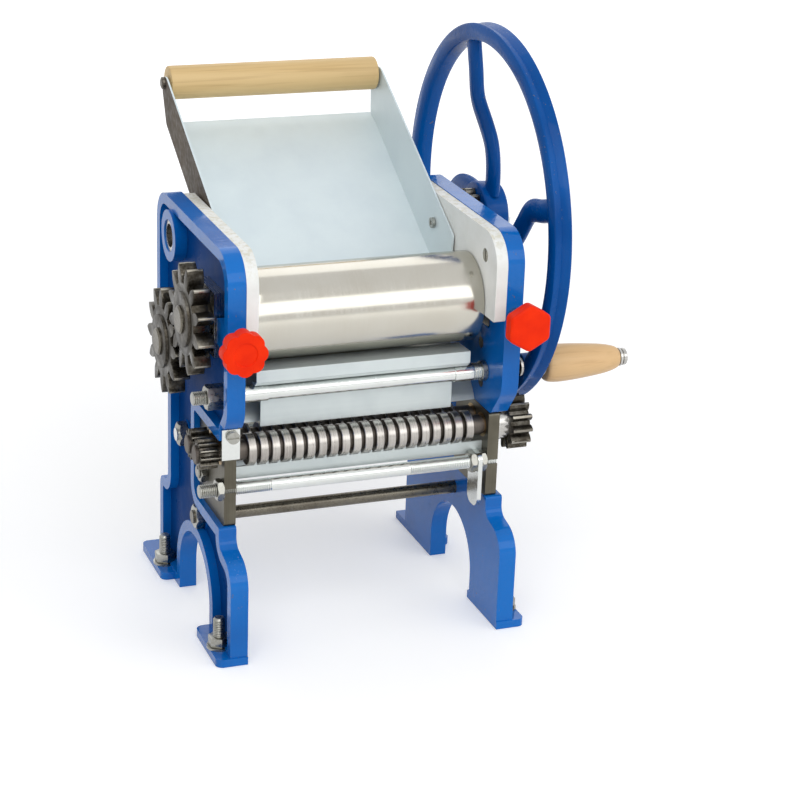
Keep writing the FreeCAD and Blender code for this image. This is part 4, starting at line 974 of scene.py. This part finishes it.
@dataclass
class Cassette:
    """The slitting cassette: plates, rolls, combs, rods and gears."""

    ring_radius: float = 10.5
    core_radius: float = 7.0
    shaft_radius: float = 6.0
    pitch: float = 8.0
    front_width: float = 5.4
    rear_width: float = 2.0
    rings: int = 20
    core_end: float = 86.0
    ring_edge: float = 0.35
    shaft_edge: float = 0.6
    groove_top: float = 0.6
    plate_edge: float = 0.6

    def build(self) -> None:
        """Build the plates and rolls and paint the small pieces."""
        for node in ("cassette_left_plate", "cassette_right_plate"):
            plate = softened(node, self.plate_edge)
            weigh_normals(publish(plate, node + "_milled", "frame", PLATE, [node]))
        self.roll("front_cutter", 0.0, self.rings, self.front_width)
        self.roll("rear_cutter", self.pitch / 2, self.rings - 1, self.rear_width)
        for node in ("front_timing_gear", "rear_timing_gear", "cutter_drive_gear"):
            cut_gear(node, 0.2)
        paint(BRIGHT, "cutter_collar")
        paint(BRONZE, "cutter_bushes")
        paint(SHEET, "front_comb", "rear_comb")
        paint(ZINC, "right_inner_guide")
        paint(WORN_ZINC, "cassette_nuts")

    def roll(self, node: str, shift: float, rings: int, width: float) -> None:
        """One slitting roll with its rings.

        Args:
            node: The node it replaces.
            shift: How far its rings are shifted along X.
            rings: Number of rings.
            width: Width of a ring.
        """
        low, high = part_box(node)
        left, right = low.x / MM, high.x / MM
        shaft, core, tip = self.shaft_radius, self.core_radius, self.ring_radius
        core_end, soft = self.core_end, self.ring_edge
        outline = [(left, 0), (left, shaft - self.shaft_edge), (left + self.shaft_edge, shaft)]
        outline += [(-core_end, shaft), (-core_end, core)]
        first = -self.pitch * (self.rings - 1) / 2 + shift
        for ring in range(rings):
            middle = first + ring * self.pitch
            start, end = middle - width / 2, middle + width / 2
            outline += [(start, core), (start, tip - soft), (start + soft, tip)]
            outline += [(end - soft, tip), (end, tip - soft), (end, core)]
        outline += [(core_end, core), (core_end, shaft), (right - self.shaft_edge, shaft)]
        outline += [(right, shaft - self.shaft_edge), (right, 0)]
        y, z = centre_of(node)
        mesh = lathe(outline, (y, z), 72)
        piece = publish(mesh, node + "_turned", body_of(node), CUTTER, [node])
        # faces below the ring tops get the dark steel: painted shade between the rings
        limit = tip - self.groove_top
        tint(piece, GROOVE_SHADE, lambda middle, normal: math.hypot(middle.y - y, middle.z - z) < limit)


@dataclass
class RodsAndSheets:
    """Tie rods, sleeve, nuts and the sheets that lead the dough."""

    rod: float = 4.5
    sleeve: float = 5.8
    collar: float = 6.8
    thin_end: float = 65.0
    thread_start: float = 78.0
    collar_width: float = 4.0
    inner: float = 88.0
    tie_thread: float = -94.0
    front_threads: Point = (-64.0, 34.0)
    rear_threads: Point = (-90.0, 90.0)
    head_radius: float = 5.8
    head: float = 2.5
    head_edge: float = 0.7
    sheet_edge: float = 0.3

    def build(self) -> None:
        """Turn the rods and the sleeve and dress the nuts and sheets."""
        self.turned_rod("front_tie_rod", "front_rod_threaded", self.tie_thread)
        self.turned_rod("cassette_front_rod", "cassette_rod_threaded", *self.front_threads)
        self.turned_rod("cassette_rear_rod", "rear_rod_threaded", *self.rear_threads)
        self.turned_sleeve()
        paint(ZINC, "rear_tie_rod", "retaining_clip")
        paint(WORN_ZINC, "frame_nuts", "clip_screw")
        paint(SHAFT, "lower_tie_rod")
        for node in ("front_scraper", "rear_scraper", "dough_guide_plate"):
            sheet = softened(node, self.sheet_edge)
            weigh_normals(publish(sheet, node + "_bent", "frame", SHEET, [node]))

    def turned_rod(self, node: str, name: str, left: float, right: float | None = None) -> None:
        """A rod with threads at its ends, or with a low head at the right.

        Args:
            node: The node it replaces.
            name: Name of the piece.
            left: Last x of the left thread, in millimetres.
            right: First x of the right thread, or None where a low head sits.
        """
        low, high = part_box(node)
        first, last = low.x / MM, high.x / MM
        outline = [(first, 0.0), (first, self.rod - 1.0)]
        outline += thread(first + 0.3, left, self.rod) + [(left + 0.6, self.rod)]
        if right is None:
            seat, wide, soft = last - self.head, self.head_radius, self.head_edge
            outline += [(seat, self.rod), (seat, wide), (last - soft, wide)]
            outline += [(last, wide - soft), (last, 0.0)]
        else:
            outline += [(right - 0.6, self.rod)] + thread(right, last - 0.3, self.rod)
            outline += [(last, self.rod - 1.0), (last, 0.0)]
        piece = publish(lathe(outline, centre_of(node), 40), name, "frame", ZINC, [node])
        tint(piece, WORN_ZINC, lambda middle, normal: middle.x < -self.inner)

    def turned_sleeve(self) -> None:
        """The spacing sleeve: a thin tube, a fatter end, a thread and a collar."""
        inner, sleeve, thin = self.inner, self.sleeve, self.sleeve - 0.6
        collar, wide, end = inner - self.collar_width, self.collar, self.thin_end
        outline = [(-inner, self.rod), (-inner, wide - 0.6), (-inner + 0.6, wide)]
        outline += [(-collar, wide), (-collar, sleeve), (-end, sleeve), (-end, thin)]
        outline += [(end, thin), (end, sleeve), (self.thread_start, sleeve)]
        outline += thread(self.thread_start + 0.2, collar, sleeve)
        outline += [(collar, wide - 0.4), (collar + 0.4, wide), (inner - 0.4, wide)]
        outline += [(inner, wide - 0.4), (inner, self.rod), (-inner, self.rod)]
        mesh = lathe(outline, centre_of("front_rod_sleeve"), 56)
        piece = publish(mesh, "sleeve_turned", "frame", ZINC, ["front_rod_sleeve"])
        tint(piece, WORN_ZINC, lambda middle, normal: middle.x > collar)


@dataclass
class Studio:
    """Pale floor, soft lamps and the camera."""

    eye: tuple[float, float, float] = (-0.48214, -1.34890, 0.69388)
    yaw: float = 21.38
    pitch: float = 20.96
    roll: float = 2.18
    focal: float = 2262.12
    picture: float = 800.0
    lamps: tuple[tuple[str, tuple[float, float, float], float, float, float], ...] = (
        ("key", (-0.6, -1.6, 2.1), 21.0, 2.0, 1.7),
        ("front", (0.85, -2.2, 1.35), 14.5, 2.5, 1.3),
        ("fill", (1.9, -1.1, 1.2), 6.0, 1.6, 1.4),
        ("rear", (0.2, 1.8, 1.7), 11.0, 2.2, 2.0),
    )
    glow: float = 0.26
    far_glow: float = 0.58
    fade: Point = (0.6, 2.4)
    daylight: float = 0.58
    sky: Colour = (0.97, 0.98, 1.0)
    floor_grey: Colour = (0.86, 0.86, 0.86)
    floor_size: float = 6.0
    floor_drop: float = 0.0002
    aim: tuple[float, float, float] = (0.0, 0.0, 0.15)
    sensor: float = 36.0
    clip: Point = (0.05, 30.0)

    def build(self) -> None:
        """Build the floor, the lamps, the world and the camera."""
        self.floor()
        self.world()
        for name, place, power, width, height in self.lamps:
            self.lamp(name, Vector(place), power, width, height)
        self.camera()
        bpy.context.scene.view_settings.view_transform = "Standard"

    def floor(self) -> None:
        """A large pale floor that keeps the shadow."""
        mesh = bmesh.new()
        bmesh.ops.create_grid(mesh, x_segments=1, y_segments=1, size=self.floor_size)
        data = bpy.data.meshes.new("floor")
        mesh.to_mesh(data)
        mesh.free()
        material = bpy.data.materials.new("pale_floor")
        material.use_nodes = True
        shader = material.node_tree.nodes["Principled BSDF"]
        shader.inputs["Base Color"].default_value = (*self.floor_grey, 1.0)
        shader.inputs["Roughness"].default_value = 0.9
        shader.inputs["Emission Color"].default_value = (1.0, 1.0, 1.0, 1.0)
        tree = material.node_tree
        place = tree.nodes.new("ShaderNodeTexCoord")
        reach = tree.nodes.new("ShaderNodeVectorMath")
        reach.operation = "LENGTH"
        tree.links.new(place.outputs["Object"], reach.inputs[0])
        lift = map_range(tree, reach.outputs["Value"], self.fade, (self.glow, self.far_glow))
        glow = tree.nodes.new("ShaderNodeMath")
        glow.operation = "MULTIPLY"
        tree.links.new(lift, glow.inputs[0])
        tree.links.new(self.straight(tree), glow.inputs[1])
        tree.links.new(glow.outputs[0], shader.inputs["Emission Strength"])
        data.materials.append(material)
        floor = bpy.data.objects.new("floor", data)
        floor.location = (0, 0, -self.floor_drop)
        bpy.context.scene.collection.objects.link(floor)

    def straight(self, tree: bpy.types.NodeTree) -> Socket:
        """A factor that is 1 for camera, glossy and transmission rays."""
        path = tree.nodes.new("ShaderNodeLightPath")
        socket = path.outputs["Is Camera Ray"]
        for other in ("Is Glossy Ray", "Is Transmission Ray"):
            node = tree.nodes.new("ShaderNodeMath")
            node.operation = "MAXIMUM"
            tree.links.new(socket, node.inputs[0])
            tree.links.new(path.outputs[other], node.inputs[1])
            socket = node.outputs[0]
        return socket

    def world(self) -> None:
        """A plain bright surround, white to the camera and to reflections."""
        world = bpy.data.worlds.new("surround")
        world.use_nodes = True
        tree = world.node_tree
        background = tree.nodes["Background"]
        strength = map_range(tree, self.straight(tree), wanted=(self.daylight, 1.0))
        tree.links.new(strength, background.inputs["Strength"])
        background.inputs["Color"].default_value = (*self.sky, 1.0)
        bpy.context.scene.world = world

    def lamp(self, name: str, place: Vector, power: float, width: float, height: float) -> None:
        """A soft lamp aimed at the machine.

        Args:
            name: Name of the lamp.
            place: Where it hangs.
            power: Watts.
            width: Width in metres.
            height: Height in metres.
        """
        data = bpy.data.lights.new(name, "AREA")
        data.energy = power
        data.shape = "RECTANGLE"
        data.size, data.size_y = width, height
        lamp = bpy.data.objects.new(name, data)
        lamp.location = place
        lamp.rotation_mode = "QUATERNION"
        lamp.rotation_quaternion = (Vector(self.aim) - place).to_track_quat("-Z", "Y")
        lamp.visible_camera = False
        bpy.context.scene.collection.objects.link(lamp)

    def camera(self) -> None:
        """The camera, from its eye point and its three angles."""
        yaw, pitch, roll = (math.radians(a) for a in (self.yaw, self.pitch, self.roll))
        ahead = Vector((
            math.sin(yaw) * math.cos(pitch), math.cos(yaw) * math.cos(pitch), -math.sin(pitch)
        ))
        level = Vector((math.cos(yaw), -math.sin(yaw), 0))
        up = level.cross(ahead)
        right = math.cos(roll) * level + math.sin(roll) * up
        top = -math.sin(roll) * level + math.cos(roll) * up
        turn = Matrix((right, top, -ahead)).transposed()
        data = bpy.data.cameras.new("camera")
        data.sensor_width = self.sensor
        data.lens = self.focal / self.picture * self.sensor
        data.clip_start, data.clip_end = self.clip
        camera = bpy.data.objects.new("camera", data)
        camera.matrix_world = Matrix.Translation(self.eye) @ turn.to_4x4()
        bpy.context.scene.collection.objects.link(camera)
        bpy.context.scene.camera = camera


def main() -> None:
    """Build every sub-assembly in order."""
    logging.basicConfig(level=logging.INFO, format="%(name)s %(message)s")
    for assembly in (
        SideFrames(), GuardsAndTray(), DoughRollers(), Adjusters(), HandCrank(), Cassette(),
        RodsAndSheets(), Studio(),
    ):
        assembly.build()


if __name__ == "__main__":
    main()
